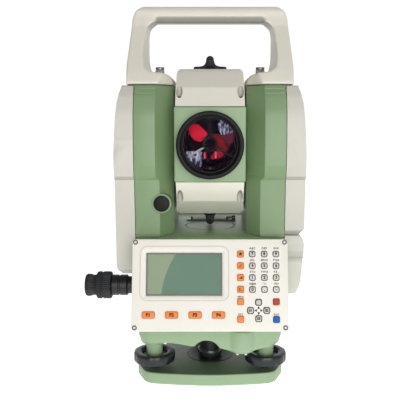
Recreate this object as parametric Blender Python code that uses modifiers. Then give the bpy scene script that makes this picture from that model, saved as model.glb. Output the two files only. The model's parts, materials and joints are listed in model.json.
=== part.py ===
"""A two-faced surveying total station standing on its three-screw tribrach.

Every dimension below is in millimetres and is turned into metres by the helpers.
The instrument's vertical axis is local X = 0, Y = 0. +Z is up and the objective faces -Y.
"""
import math

import bmesh
import bpy
from mathutils import Matrix, Vector

MM = 0.001
GAP = 0.3
ROUND_STEPS = 24
SMALL_STEPS = 12
MERGE_DISTANCE = 0.00001

# How far cutters run past the surfaces they cut.
OVERRUN = 2.0

# The side drive knob makes the instrument wider on its left, so the axis stands right of the origin.
AXIS_X = 17.4

# Heights of the main levels.
BASE_TOP = 12.0
TRIBRACH_BOTTOM = 42.0
TRIBRACH_TOP = 56.0
BOSS_TOP = 59.5
DRUM_BOTTOM = 60.2
DRUM_TOP = 92.0
BLOCK_BOTTOM = 84.0
FLOOR = 149.0
STANDARD_TOP = 287.0
TILT_AXIS = 234.0

# Base plate and tribrach, as outlines seen from above.
BASE_OUTLINE = [(-46, -50.5), (0, -55), (46, -50.5), (63, -47), (74, -21),
                (22, 80), (-22, 80), (-74, -21), (-63, -47)]
BASE_CORNER = 10.0
BASE_EDGE = 1.2
BUSH_RADIUS = 23.7
BUSH_PROFILE = [(23.7, 12.3), (23.7, 1.0), (7.94, 1.0), (7.94, 30.0), (11.2, 30.0), (11.2, 20.5),
                (12.4, 18.5), (12.8, 16.0), (12.4, 13.5), (13.2, 12.3)]
TRIBRACH_OUTLINE = [(-60, -50), (60, -50), (70, -40), (70, -22),
                    (17, 80), (-17, 80), (-70, -22), (-70, -40)]
TRIBRACH_CORNER = 9.0
SCREW_CIRCLE = 63.8
SCREW_ANGLES = (210, 330, 90)
ARM_PROFILE = [(0, 50), (14, 50), (14, 40), (11, 37), (8, 37), (8, 25.2), (0, 25.2)]
ARCH_RADIUS = 14.0
ARCH_HALF_LENGTH = 30.0
ARCH_CENTRE = (-3.5, -45.0, 30.6)
BOSS_RADIUS = 46.0
BOSS_ROOT = 50.0
KNOB_PROFILE = [(0, 24.5), (12.5, 24.5), (14, 28.2), (19.5, 28.2), (20.5, 27.2), (20.5, 19.5), (19.5, 18.5),
                (7, 18.5), (5, 17), (5, 13.8), (0, 12.3)]
LEVEL_CENTRE = (31.0, -41.0)
LEVEL_POD_RADIUS = 14.5
LEVEL_POD_BOTTOM = 31.5
LEVEL_POD_TOP = 55.5
LEVEL_RADIUS = 11.2
LEVEL_FLOOR = 46.0
LEVEL_PROFILE = [(0, 56.5), (8.2, 56.5), (9.2, 57.5), (11.2, 57.5), (11.2, 46.3), (0, 46.3)]
SPINDLE_RADIUS = 8.0
SPINDLE_BOTTOM = 46.3
SPINDLE_TOP = 100.0
SPINDLE_CLEARANCE = 0.4
CIRCLE_RADIUS = 44.0
CIRCLE_BOTTOM = 66.0
CIRCLE_TOP = 69.0

# Alidade: centre block between the side covers, and the two hollow standards on it.
DRUM_RADIUS = 58.0
DRUM_CAVITY_RADIUS = 50.0
DRUM_CAVITY_TOP = 86.0
BLOCK_CAVITY = ((-60, -52, 80), (60, 52, 141))
SPINDLE_SLEEVE = (17.0, 71.0, 144.0)
BLOCK_HALF_WIDTH = 68.5
BLOCK_HALF_DEPTH = 60.0
BLOCK_EDGE = 2.0
WALL_X = 34.0
COVER_X = 69.1
STANDARD_EDGE = [(59, 149.3), (59, 201.5), (62.3, 205), (63.6, 215),
                 (63.6, 240), (61, 262), (56, 277), (50, 287)]
STANDARD_FACET = [(49.5, -63.6), (34.0, -41.0)]
STANDARD_EDGE_RADIUS = 1.0
FACET_REACH = 4.0
FACET_DEPTH = 8.0
STANDARD_HOLLOW_X = 40.0
HOLLOW_HALF_DEPTH = 48.0
HOLLOW_BOTTOM = 160.0
HOLLOW_TOP = 273.0
TRUNNION_RADIUS = 12.0
TRUNNION_END = 58.0
BEARING_REACH = 10.0
DRIVE_BOSS_X = -44.4
DRIVE_BOSS_Z = 180.0
DRIVE_BOSS_RADIUS = 8.2
DRIVE_BOSS_ROOT = 44.0
REAR_BOSS_LENGTH = 11.0
SPRING_CAP_PROFILE = [(0, 3.4), (6.3, 3.4), (7.3, 2.4), (7.3, 0.3), (0, 0.3)]
BOARD_SIZE = (1.6, 76, 46)
BOARD_CENTRE = (54, 0, 190)

# White side covers: a side profile common with a front profile.
COVER_EDGE = [(58.5, 201.5), (61.8, 205), (63, 215), (63, 240), (60.5, 262), (55.5, 277), (49.5, 286.7)]
LEFT_COVER_BOTTOM = 113.0
RIGHT_COVER_BOTTOM = 150.2
COVER_LOW_DEPTH = 58.5
COVER_LOW_CHAMFER = (4.0, 5.0)
COVER_LOW_CORNER = 6.0
COVER_TRIM = 1.0
COVER_FRONT = [(87, 225), (85, 258), (83.8, 271), (82, 279), (78.5, 290.8), (66, 290.8)]
COVER_OUTER_X = 87.0
SPARE = 4.0
COVER_EDGE_RADIUS = 5.0
COVER_HOLLOW_X = 79.5
COVER_HOLLOW_BOTTOM = 155.2
COVER_HOLLOW_TOP = 265.0
SILHOUETTE_DEPTH = 140.0
CASE_EDGE = 1.5
BATTERY_FRONT = [(66, 90), (81.5, 90), (85.3, 102), (86.6, 114), (87, 125),
                 (87, 143), (84.5, 151), (66, 151)]
BATTERY_EDGE = [(49, 92), (50.5, 125), (54, 128), (57.5, 135), (59, 142), (57, 149.7)]

# Carrying handle: front outline common with a side outline.
HANDLE_OUTER = [(78, 287.3), (77.6, 291), (73.6, 350), (71, 357.5), (64.5, 362)]
HANDLE_INNER = [(53, 347.2), (58.6, 342.5), (60.5, 335), (61.8, 314), (60.5, 304), (54.5, 299.3), (44, 298.5),
                (37.5, 296.5), (34.6, 292), (34.3, 287.3)]
HANDLE_EDGE = [(49.5, 284), (49, 290), (43.5, 300), (15.5, 343), (13, 351), (12, 364)]
HANDLE_BLANK_DEPTH = 110.0
HANDLE_BLANK_WIDTH = 180.0
HANDLE_FACET = [(48.0, -50.0), (34.3, -31.0)]
HANDLE_FACET_TOP = 312.0
HANDLE_EDGE_RADIUS = 3.2
HANDLE_SCREW_X = 49.0
HANDLE_SCREW_PROFILE = [(0, 306), (3.9, 306), (4.4, 305.5), (4.4, 299.2), (0, 299.2)]
HANDLE_SCREW_WELL = 5.0
HANDLE_SCREW_WELL_FLOOR = 298.6
HANDLE_SCREW_WELL_TOP = 327.0

# Telescope, measured from its tilt axis.
TELESCOPE_HALF_WIDTH = 32.2
TELESCOPE_FRONT = -65.0
TELESCOPE_BACK = 54.0
TELESCOPE_HALF_HEIGHT = 33.7
TELESCOPE_COVER_EDGE = [(-63.5, 34.0), (-50, 50.8), (-27, 66.5), (-22, 69),
                        (22, 69), (27, 66.5), (42, 50.8), (52.5, 34.0)]
TELESCOPE_COVER_HALF_WIDTH = 31.0
OBJECTIVE_BORE_RADIUS = 26.0
OBJECTIVE_BORE_DEPTH = 24.0
TUBE_BORE_RADIUS = 22.0
TUBE_BORE_DEPTH = 106.0
OBJECTIVE_PROFILE = [(28.6, 12.7), (30, 11.2), (30, 0.3), (25.7, 0.3), (25.7, -20),
                     (23.8, -20), (23.8, 3.6), (24.9, 3.6), (24.9, 9.4), (26.4, 12.7)]
LENS_PROFILE = [(0, 8.6), (12, 7.9), (24.5, 6.4), (24.5, 4.0), (0, 4.0)]
SPIDER_DEPTH = -13.0
SPIDER_HUB_PROFILE = [(7, 2.5), (7, -2.5), (4.5, -2.5), (4.5, 2.5)]
SPOKE_SIZE = (2.0, 19.0, 2.4)
SPOKE_ANGLES = (0, 120, 240)
SPOKE_START = 6.0
EYE_TUBE_RADIUS = 8.0
EYE_TUBE_ROOT = 49.0
EYE_TUBE_END = 75.0
FOCUS_PROFILE = [(24.5, 13.5), (26, 12), (26, 2.0), (24.5, 0.3), (8.3, 0.3), (8.3, 13.5)]
EYEPIECE_PROFILE = [(11, 27), (13, 25), (13, 17), (11.5, 14), (8.3, 14), (8.3, 23), (5.5, 24.5), (5.5, 27)]
SIGHT_BASE = (32, 12, 3.0)
SIGHT_BASE_BOTTOM = 69.3
SIGHT_LUG = (7.5, 24, 10.6)
SIGHT_LUG_TOP = 82.0
SIGHT_EDGE = 1.2
SIGHT_ARC_STEPS = 6
SIGHT_HOLE_RADIUS = 1.3
VERTICAL_CIRCLE_RADIUS = 35.0
VERTICAL_CIRCLE_X = (-48.0, -45.5)

# Coaxial clamp ring and tangent knob, measured outwards from the end of the neck or boss under them.
DRIVE_NECK_PROFILE = [(0, 27.3), (10.2, 27.3), (10.2, 12.3), (8.5, 11.5), (8.5, 0.3), (0, 0.3)]
CLAMP_RING_PROFILE = [(11.7, 14.8), (13.3, 13.2), (13.3, 1.9), (11.7, 0.3), (4.1, 0.3), (4.1, 14.8)]
TANGENT_KNOB_PROFILE = [(0, 26.0), (8.9, 26.0), (10.9, 24.0), (10.9, 21.0), (9.9, 18.1), (10.5, 15.1),
                        (3.8, 15.1), (3.8, 1.3), (0, 1.3)]
SIDE_DRIVE_PLACE = (-68.5, -30, 95)

# Plate level on the floor between the standards.
PLATE_LEVEL_SIZE = (52, 10, 3.6)
PLATE_LEVEL_CENTRE = (1, 32, 151.1)
PLATE_LEVEL_EDGE = 1.0

# Operating panels, in the panel's own plane: X right, Y up the panel, Z out of it.
PANEL_TILT = 15.8
PANEL_CENTRE_Y = -91.0
PANEL_CENTRE_Z = 112.2
PANEL_SIZE = (138, 81)
PANEL_CORNER = 3.0
PANEL_THICKNESS = 2.2
CASE_HALF_WIDTH = 66.5
CASE_SIDE = [(-60.3, 87), (-60.3, 148), (-77.3, 148.3), (-98.4, 74.6)]
CASE_POCKET_SIZE = (127, 71, 6)
WINDOW_CENTRE = (-22.9, 9.5)
WINDOW_SIZE = (67.4, 37.8)
WINDOW_CUT = 20.0
DISPLAY_THICKNESS = 3.2
DISPLAY_RECESS = 0.9
KEY_SIZE = (5.7, 5.7)
KEY_BOTTOM = -2.8
KEY_TOP = 1.1
KEY_CLEARANCE = 0.35
KEY_HOLE_REACH = 9.0
FUNCTION_KEY_SIZE = (11.2, 5.8)
FUNCTION_KEY_Y = -26.2
FUNCTION_KEY_X = (-54.2, -33.7, -13.1, 7.5)
SYMBOL_KEY_X = 27.0
NUMBER_KEY_X = (37.4, 48.0, 58.4)
KEY_ROWS = (27.3, 16.9, 6.5, -3.9)
MENU_KEY = (26.9, -14.5)
ESCAPE_KEY = (26.9, -29.9)
POWER_KEY = (58.3, -14.7)
ENTER_KEY = (58.3, -30.0)
ARROW_CENTRE = (42.7, -22.2)
ARROW_REACH = 7.1
ARROW_KEY_SIZE = (5.2, 5.2)
MAT_MARGIN = 1.5
MAT_TOP = -3.1
MAT_BOTTOM = -4.2
MAT_STRIP_TOP = -22.7
MAT_STEP = 0.2
MAT_INSET = 0.5

CREAM = ((0.80, 0.77, 0.67), 0.42, 0.0)
GREEN = ((0.27, 0.40, 0.22), 0.40, 0.0)
BLACK = ((0.022, 0.025, 0.028), 0.45, 0.0)
DARK_GLASS = ((0.03, 0.012, 0.02), 0.06, 0.0)
LCD = ((0.16, 0.24, 0.16), 0.20, 0.0)
STEEL = ((0.62, 0.62, 0.60), 0.28, 1.0)
ORANGE = ((0.83, 0.25, 0.07), 0.45, 0.0)
BLUE = ((0.02, 0.13, 0.45), 0.45, 0.0)
RED = ((0.50, 0.06, 0.04), 0.45, 0.0)
GREY = ((0.45, 0.45, 0.42), 0.50, 0.0)
CLEAR_GLASS = ((0.75, 0.80, 0.80), 0.05, 0.0)
BOARD_GREEN = ((0.02, 0.16, 0.07), 0.50, 0.0)

TURN_OF = {
    "up": (0, 0, 0),
    "left": (0, -90, 0),
    "right": (0, 90, 0),
    "front": (90, 0, 0),
    "back": (-90, 0, 0),
    "profile": (90, 0, 90),
}


def clear_scene():
    for old in list(bpy.data.objects):
        bpy.data.objects.remove(old, do_unlink=True)


def new_collection(name):
    collection = bpy.data.collections.new(name)
    bpy.context.scene.collection.children.link(collection)
    return collection


def degrees(angles):
    return [math.radians(angle) for angle in angles]


def make_empty(name, location, rotation=(0, 0, 0), parent=None):
    empty = bpy.data.objects.new(name, None)
    empty.location = Vector(location) * MM
    empty.rotation_euler = degrees(rotation)
    empty.parent = parent
    PARTS.objects.link(empty)
    return empty


def make_material(name, look):
    colour, roughness, metallic = look
    material = bpy.data.materials.new(name)
    material.use_nodes = True
    shader = material.node_tree.nodes["Principled BSDF"]
    shader.inputs["Base Color"].default_value = (*colour, 1)
    shader.inputs["Roughness"].default_value = roughness
    shader.inputs["Metallic"].default_value = metallic
    material.diffuse_color = (*colour, 1)
    return material


def place(obj, location, turn, parent, look):
    """Put an object in the model, or among the cutters when it has no look."""
    obj.location = Vector(location) * MM
    obj.rotation_euler = degrees(TURN_OF[turn])
    obj.parent = parent
    if look is None:
        CUTTERS.objects.link(obj)
        obj.hide_render = True
        obj.display_type = "WIRE"
        return obj
    PARTS.objects.link(obj)
    obj.data.materials.append(make_material(obj.name, look))
    return obj


def box(name, low, high, parent, look=None, turn="up"):
    """A cuboid from its lowest to its highest corner."""
    low, high = Vector(low), Vector(high)
    mesh = bpy.data.meshes.new(name)
    shape = bmesh.new()
    bmesh.ops.create_cube(shape, size=1)
    bmesh.ops.transform(shape, matrix=Matrix.Diagonal((*(high - low) * MM, 1)), verts=shape.verts)
    shape.to_mesh(mesh)
    shape.free()
    return place(bpy.data.objects.new(name, mesh), (low + high) / 2, turn, parent, look)


def turned(name, profile, location, turn, parent, look=None, steps=ROUND_STEPS):
    """A body turned from (radius, height) points, run down the outside; off the axis it is a ring."""
    points = [(radius * MM, 0, height * MM) for radius, height in profile]
    edges = [(index, index + 1) for index in range(len(points) - 1)]
    if profile[0][0] > 0 and profile[-1][0] > 0:
        edges.append((len(points) - 1, 0))
    mesh = bpy.data.meshes.new(name)
    mesh.from_pydata(points, edges, [])
    obj = place(bpy.data.objects.new(name, mesh), location, turn, parent, look)
    screw = obj.modifiers.new("Turn", "SCREW")
    screw.steps = steps
    screw.render_steps = steps
    screw.use_merge_vertices = True
    screw.merge_threshold = MERGE_DISTANCE
    screw.use_smooth_shade = True
    return obj


def cylinder_profile(radius, bottom, top):
    return [(0, top), (radius, top), (radius, bottom), (0, bottom)]


def flat(name, outline, thickness, location, turn, parent, look=None):
    """A flat outline given thickness both ways from its plane, as a closed mesh."""
    curve = bpy.data.curves.new(name, "CURVE")
    curve.dimensions = "2D"
    curve.fill_mode = "BOTH"
    curve.extrude = thickness / 2 * MM
    spline = curve.splines.new("POLY")
    spline.points.add(len(outline) - 1)
    for point, (across, along) in zip(spline.points, outline):
        point.co = (across * MM, along * MM, 0, 1)
    spline.use_cyclic_u = True
    guide = bpy.data.objects.new(name + "_outline", curve)
    bpy.context.scene.collection.objects.link(guide)
    graph = bpy.context.evaluated_depsgraph_get()
    mesh = bpy.data.meshes.new_from_object(guide.evaluated_get(graph))
    bpy.data.objects.remove(guide, do_unlink=True)
    shape = bmesh.new()
    shape.from_mesh(mesh)
    bmesh.ops.remove_doubles(shape, verts=shape.verts, dist=MERGE_DISTANCE)
    bmesh.ops.recalc_face_normals(shape, faces=shape.faces)
    shape.to_mesh(mesh)
    shape.free()
    return place(bpy.data.objects.new(name, mesh), location, turn, parent, look)


def combine(obj, other, operation):
    boolean = obj.modifiers.new(other.name, "BOOLEAN")
    boolean.operation = operation
    boolean.object = other
    return obj


def cut(obj, *cutters):
    for cutter in cutters:
        combine(obj, cutter, "DIFFERENCE")
    return obj


def join(obj, *others):
    for other in others:
        combine(obj, other, "UNION")
    return obj


def soften(obj, width, segments=2, angle=30):
    bevel = obj.modifiers.new("Soft edges", "BEVEL")
    bevel.width = width * MM
    bevel.segments = segments
    bevel.limit_method = "ANGLE"
    bevel.angle_limit = math.radians(angle)
    return obj


def mirrored(half):
    """A closed outline from its right half, listed from bottom to top."""
    return half + [(-across, along) for across, along in reversed(half)]


def flipped(points):
    return [(across, -along) for across, along in points]


def sided(points, side):
    return [(side * across, along) for across, along in points]


def rounded(outline, radius, steps=4):
    """An outline whose corners are replaced by arcs of the given radius."""
    result = []
    count = len(outline)
    for index, corner in enumerate(outline):
        corner = Vector(corner)
        before = (Vector(outline[index - 1]) - corner).normalized()
        after = (Vector(outline[(index + 1) % count]) - corner).normalized()
        half_angle = before.angle(after) / 2
        reach = radius / math.tan(half_angle)
        centre = corner + (before + after).normalized() * radius / math.sin(half_angle)
        start = corner + before * reach - centre
        sweep = math.pi - 2 * half_angle
        turn = math.copysign(sweep, before.cross(after)) * -1
        for step in range(steps + 1):
            spoke = start.copy()
            spoke.rotate(Matrix.Rotation(turn * step / steps, 2))
            result.append(tuple(centre + spoke))
    return result


def rectangle(size, centre=(0, 0)):
    signs = ((-1, -1), (1, -1), (1, 1), (-1, 1))
    return [(centre[0] + across * size[0] / 2, centre[1] + along * size[1] / 2) for across, along in signs]


def facet_cutters(name, facet, bottom, top, side, parent):
    """Two upright wedges that slope the inner front and rear corners of a standard or handle foot."""
    (outer_x, outer_y), (inner_x, inner_y) = facet
    slope = (inner_y - outer_y) / (inner_x - outer_x)
    far_x, near_x = outer_x + FACET_REACH, inner_x - FACET_REACH
    far_y, near_y = outer_y + slope * FACET_REACH, inner_y - slope * FACET_REACH
    deep_y = outer_y - FACET_DEPTH
    wedge = [(far_x, far_y), (near_x, near_y), (near_x, deep_y), (far_x, deep_y)]
    front = sided(wedge, side)
    middle = (0, 0, (bottom + top) / 2)
    cutters = []
    for label, outline in (("front", front), ("rear", flipped(front))):
        cutters.append(flat(f"{name}_{label}_facet", outline, top - bottom, middle, "up", parent))
    return cutters


def build_tribrach(axis):
    outline = rounded(BASE_OUTLINE, BASE_CORNER)
    base = flat("base_plate", outline, BASE_TOP, (0, 0, BASE_TOP / 2), "up", axis, GREEN)
    soften(base, BASE_EDGE, segments=1, angle=60)
    well = cylinder_profile(BUSH_RADIUS + GAP, -OVERRUN, BASE_TOP + OVERRUN)
    cut(base, turned("base_well", well, (0, 0, 0), "up", axis))
    turned("tripod_bush", BUSH_PROFILE, (0, 0, 0), "up", axis, BLACK)

    middle = (TRIBRACH_BOTTOM + TRIBRACH_TOP) / 2
    outline = rounded(TRIBRACH_OUTLINE, TRIBRACH_CORNER)
    body = flat("tribrach_body", outline, TRIBRACH_TOP - TRIBRACH_BOTTOM, (0, 0, middle), "up", axis, GREEN)
    boss = cylinder_profile(BOSS_RADIUS, BOSS_ROOT, BOSS_TOP)
    join(body, turned("tribrach_boss", boss, (0, 0, 0), "up", axis))
    pod_profile = cylinder_profile(LEVEL_POD_RADIUS, LEVEL_POD_BOTTOM, LEVEL_POD_TOP)
    join(body, turned("level_pod", pod_profile, (*LEVEL_CENTRE, 0), "up", axis))
    for number, angle in enumerate(degrees(SCREW_ANGLES), start=1):
        spot = (SCREW_CIRCLE * math.cos(angle), SCREW_CIRCLE * math.sin(angle), 0)
        join(body, turned(f"arm_{number}", ARM_PROFILE, spot, "up", axis, steps=SMALL_STEPS))
        turned(f"footscrew_{number}", KNOB_PROFILE, spot, "up", axis, BLACK)
    arch = cylinder_profile(ARCH_RADIUS, -ARCH_HALF_LENGTH, ARCH_HALF_LENGTH)
    level_well = cylinder_profile(LEVEL_RADIUS + GAP, LEVEL_FLOOR, BOSS_TOP + OVERRUN)
    bore_radius = SPINDLE_RADIUS + SPINDLE_CLEARANCE
    spindle_well = cylinder_profile(bore_radius, SPINDLE_BOTTOM - GAP, BOSS_TOP + OVERRUN)
    cut(body, turned("arch", arch, ARCH_CENTRE, "front", axis))
    cut(body, turned("level_well", level_well, (*LEVEL_CENTRE, 0), "up", axis))
    cut(body, turned("spindle_well", spindle_well, (0, 0, 0), "up", axis))

    turned("circular_level", LEVEL_PROFILE, (*LEVEL_CENTRE, 0), "up", axis, CLEAR_GLASS)
    spindle = cylinder_profile(SPINDLE_RADIUS, SPINDLE_BOTTOM, SPINDLE_TOP)
    turned("spindle", spindle, (0, 0, 0), "up", axis, STEEL)
    hole = SPINDLE_RADIUS + GAP
    circle = [(CIRCLE_RADIUS, CIRCLE_TOP), (CIRCLE_RADIUS, CIRCLE_BOTTOM),
              (hole, CIRCLE_BOTTOM), (hole, CIRCLE_TOP)]
    turned("horizontal_circle", circle, (0, 0, 0), "up", axis, CLEAR_GLASS)


def build_alidade_base(axis):
    low = (-BLOCK_HALF_WIDTH, -BLOCK_HALF_DEPTH, BLOCK_BOTTOM)
    high = (BLOCK_HALF_WIDTH, BLOCK_HALF_DEPTH, FLOOR)
    base = soften(box("alidade_base", low, high, axis, GREEN), BLOCK_EDGE)
    drum = cylinder_profile(DRUM_RADIUS, DRUM_BOTTOM, DRUM_TOP)
    join(base, turned("alidade_drum", drum, (0, 0, 0), "up", axis))
    cut(base, box("block_cavity", *BLOCK_CAVITY, axis))
    drum_cavity = cylinder_profile(DRUM_CAVITY_RADIUS, DRUM_BOTTOM - OVERRUN, DRUM_CAVITY_TOP)
    cut(base, turned("drum_cavity", drum_cavity, (0, 0, 0), "up", axis))
    join(base, turned("spindle_sleeve", cylinder_profile(*SPINDLE_SLEEVE), (0, 0, 0), "up", axis))
    bore_radius = SPINDLE_RADIUS + SPINDLE_CLEARANCE
    bore = cylinder_profile(bore_radius, DRUM_BOTTOM - OVERRUN, SPINDLE_TOP + OVERRUN)
    cut(base, turned("spindle_bore", bore, (0, 0, 0), "up", axis))


def build_standard(name, side, axis):
    middle_x = side * (WALL_X + BLOCK_HALF_WIDTH) / 2
    width = BLOCK_HALF_WIDTH - WALL_X
    standard = flat(name, mirrored(STANDARD_EDGE), width, (middle_x, 0, 0), "profile", axis, GREEN)
    cut(standard, *facet_cutters(name, STANDARD_FACET, FLOOR - OVERRUN, STANDARD_TOP + OVERRUN, side, axis))
    soften(standard, STANDARD_EDGE_RADIUS, angle=35)
    near, far = sorted((side * STANDARD_HOLLOW_X, side * (BLOCK_HALF_WIDTH + OVERRUN)))
    low = (near, -HOLLOW_HALF_DEPTH, HOLLOW_BOTTOM)
    high = (far, HOLLOW_HALF_DEPTH, HOLLOW_TOP)
    hollow = box(name + "_hollow", low, high, axis)
    bearing_profile = cylinder_profile(TRUNNION_RADIUS + GAP, -BEARING_REACH, BEARING_REACH)
    bearing = turned(name + "_bearing", bearing_profile, (side * WALL_X, 0, TILT_AXIS), "right", axis)
    return cut(standard, hollow, bearing)


def build_cover(name, side, bottom, axis):
    chamfer_y, chamfer_z = COVER_LOW_CHAMFER
    low_edge = [(COVER_LOW_DEPTH - chamfer_y, bottom), (COVER_LOW_DEPTH, bottom + chamfer_z)]
    width = COVER_OUTER_X + SPARE - COVER_X
    middle = (side * (COVER_X + width / 2), 0, 0)
    cover = flat(name, mirrored(low_edge + COVER_EDGE), width, middle, "profile", axis, CREAM)
    corner = COVER_LOW_CORNER
    front = [(COVER_FRONT[-1][0], bottom - COVER_TRIM), (COVER_OUTER_X - corner, bottom - COVER_TRIM),
             (COVER_OUTER_X, bottom + corner)]
    outline = sided(front + COVER_FRONT, side)
    silhouette = flat(name + "_silhouette", outline, SILHOUETTE_DEPTH, (0, 0, 0), "front", axis)
    combine(cover, silhouette, "INTERSECT")
    soften(cover, COVER_EDGE_RADIUS, angle=50)
    near, far = sorted((side * (COVER_X - OVERRUN), side * COVER_HOLLOW_X))
    low = (near, -HOLLOW_HALF_DEPTH, COVER_HOLLOW_BOTTOM)
    high = (far, HOLLOW_HALF_DEPTH, COVER_HOLLOW_TOP)
    return cut(cover, box(name + "_hollow", low, high, axis))


def build_battery(axis):
    width = COVER_OUTER_X + SPARE - COVER_X
    middle = (COVER_X + width / 2, 0, 0)
    battery = flat("battery", mirrored(BATTERY_EDGE), width, middle, "profile", axis, CREAM)
    silhouette = flat("battery_silhouette", BATTERY_FRONT, SILHOUETTE_DEPTH, (0, 0, 0), "front", axis)
    combine(battery, silhouette, "INTERSECT")
    soften(battery, CASE_EDGE, angle=35)


def build_handle(axis):
    outer = [(-across, along) for across, along in HANDLE_OUTER] + list(reversed(HANDLE_OUTER))
    inner = list(reversed(HANDLE_INNER)) + [(-across, along) for across, along in HANDLE_INNER]
    handle = flat("carrying_handle", outer + inner, HANDLE_BLANK_DEPTH, (0, 0, 0), "front", axis, CREAM)
    side_outline = mirrored(HANDLE_EDGE)
    side_view = flat("handle_side_view", side_outline, HANDLE_BLANK_WIDTH, (0, 0, 0), "profile", axis)
    combine(handle, side_view, "INTERSECT")
    for side in (-1, 1):
        name = "handle_left" if side < 0 else "handle_right"
        bottom = STANDARD_TOP - OVERRUN
        cut(handle, *facet_cutters(name, HANDLE_FACET, bottom, HANDLE_FACET_TOP, side, axis))
    soften(handle, HANDLE_EDGE_RADIUS, angle=50)
    for side, name in ((-1, "left"), (1, "right")):
        spot = (side * HANDLE_SCREW_X, 0, 0)
        well = cylinder_profile(HANDLE_SCREW_WELL, HANDLE_SCREW_WELL_FLOOR, HANDLE_SCREW_WELL_TOP)
        cut(handle, turned(f"handle_{name}_well", well, spot, "up", axis, steps=SMALL_STEPS))
        turned(f"handle_screw_{name}", HANDLE_SCREW_PROFILE, spot, "up", axis, STEEL)


def lifted(profile, height):
    return [(radius, along + height) for radius, along in profile]


def build_drive(name, location, turn, neck_length, parent):
    """The clamp ring past a fixed neck, and the tangent knob whose shaft runs through the ring."""
    turned(name + "_clamp_ring", lifted(CLAMP_RING_PROFILE, neck_length), location, turn, parent, BLACK)
    turned(name + "_tangent_knob", lifted(TANGENT_KNOB_PROFILE, neck_length), location, turn, parent, BLACK)


def build_alidade_fittings(axis):
    standard = bpy.data.objects["left_standard"]
    face = STANDARD_EDGE[0][0]
    spot = (DRIVE_BOSS_X, 0, DRIVE_BOSS_Z)
    front_boss = cylinder_profile(DRIVE_BOSS_RADIUS, DRIVE_BOSS_ROOT, face)
    rear_boss = cylinder_profile(DRIVE_BOSS_RADIUS, DRIVE_BOSS_ROOT, face + REAR_BOSS_LENGTH)
    join(standard, turned("front_boss", front_boss, spot, "front", axis))
    join(standard, turned("rear_boss", rear_boss, spot, "back", axis))
    cap_place = (DRIVE_BOSS_X, -face, DRIVE_BOSS_Z)
    turned("tangent_spring_cap", SPRING_CAP_PROFILE, cap_place, "front", axis, BLACK)
    turned("horizontal_drive_neck", DRIVE_NECK_PROFILE, SIDE_DRIVE_PLACE, "left", axis, BLACK)
    build_drive("vertical", (DRIVE_BOSS_X, face, DRIVE_BOSS_Z), "back", REAR_BOSS_LENGTH, axis)
    build_drive("horizontal", SIDE_DRIVE_PLACE, "left", DRIVE_NECK_PROFILE[0][1], axis)
    half = Vector(PLATE_LEVEL_SIZE) / 2
    centre = Vector(PLATE_LEVEL_CENTRE)
    soften(box("plate_level", centre - half, centre + half, axis, BLACK), PLATE_LEVEL_EDGE)
    half = Vector(BOARD_SIZE) / 2
    centre = Vector(BOARD_CENTRE)
    box("main_board", centre - half, centre + half, axis, BOARD_GREEN)


def build_telescope(pivot):
    low = (-TELESCOPE_HALF_WIDTH, TELESCOPE_FRONT, -TELESCOPE_HALF_HEIGHT)
    high = (TELESCOPE_HALF_WIDTH, TELESCOPE_BACK, TELESCOPE_HALF_HEIGHT)
    body = soften(box("telescope_body", low, high, pivot, GREEN), CASE_EDGE)
    trunnion = cylinder_profile(TRUNNION_RADIUS, -TRUNNION_END, TRUNNION_END)
    tube = cylinder_profile(EYE_TUBE_RADIUS, EYE_TUBE_ROOT, EYE_TUBE_END)
    step = -OBJECTIVE_BORE_DEPTH
    bore = [(0, OVERRUN), (OBJECTIVE_BORE_RADIUS, OVERRUN), (OBJECTIVE_BORE_RADIUS, step),
            (TUBE_BORE_RADIUS, step), (TUBE_BORE_RADIUS, -TUBE_BORE_DEPTH), (0, -TUBE_BORE_DEPTH)]
    join(body, turned("trunnions", trunnion, (0, 0, 0), "right", pivot))
    join(body, turned("eye_tube", tube, (0, 0, 0), "back", pivot))
    cut(body, turned("objective_bore", bore, (0, TELESCOPE_FRONT, 0), "front", pivot))
    for name, edge in (("top", TELESCOPE_COVER_EDGE), ("bottom", flipped(TELESCOPE_COVER_EDGE))):
        width = 2 * TELESCOPE_COVER_HALF_WIDTH
        cover = flat(f"telescope_{name}_cover", edge, width, (0, 0, 0), "profile", pivot, CREAM)
        soften(cover, CASE_EDGE, angle=35)
    for name, sign in (("top", 1), ("bottom", -1)):
        build_sight(f"sight_{name}", sign, pivot)

    front = (0, TELESCOPE_FRONT, 0)
    back = (0, TELESCOPE_BACK, 0)
    objective = turned("objective_ring", OBJECTIVE_PROFILE, front, "front", pivot, BLACK)
    spider_place = (0, TELESCOPE_FRONT - SPIDER_DEPTH, 0)
    for number, angle in enumerate(SPOKE_ANGLES, start=1):
        half = Vector(SPOKE_SIZE).xzy / 2
        middle = Vector((0, 0, SPOKE_START + half.z))
        middle.rotate(Matrix.Rotation(math.radians(angle), 3, "Y"))
        spoke = box(f"spoke_{number}", -half, half, pivot)
        spoke.location = (Vector(spider_place) + middle) * MM
        spoke.rotation_euler.y = math.radians(angle)
        join(objective, spoke)
    hub = turned("spider_hub", SPIDER_HUB_PROFILE, spider_place, "front", pivot, steps=SMALL_STEPS)
    join(objective, hub)
    turned("objective_lens", LENS_PROFILE, front, "front", pivot, DARK_GLASS)
    turned("focus_ring", FOCUS_PROFILE, back, "back", pivot, BLACK)
    turned("eyepiece_ring", EYEPIECE_PROFILE, back, "back", pivot, BLACK)
    near, far = VERTICAL_CIRCLE_X
    inner = TRUNNION_RADIUS + GAP
    circle = [(VERTICAL_CIRCLE_RADIUS, far), (VERTICAL_CIRCLE_RADIUS, near), (inner, near), (inner, far)]
    turned("vertical_circle", circle, (0, 0, 0), "right", pivot, CLEAR_GLASS)


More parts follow.
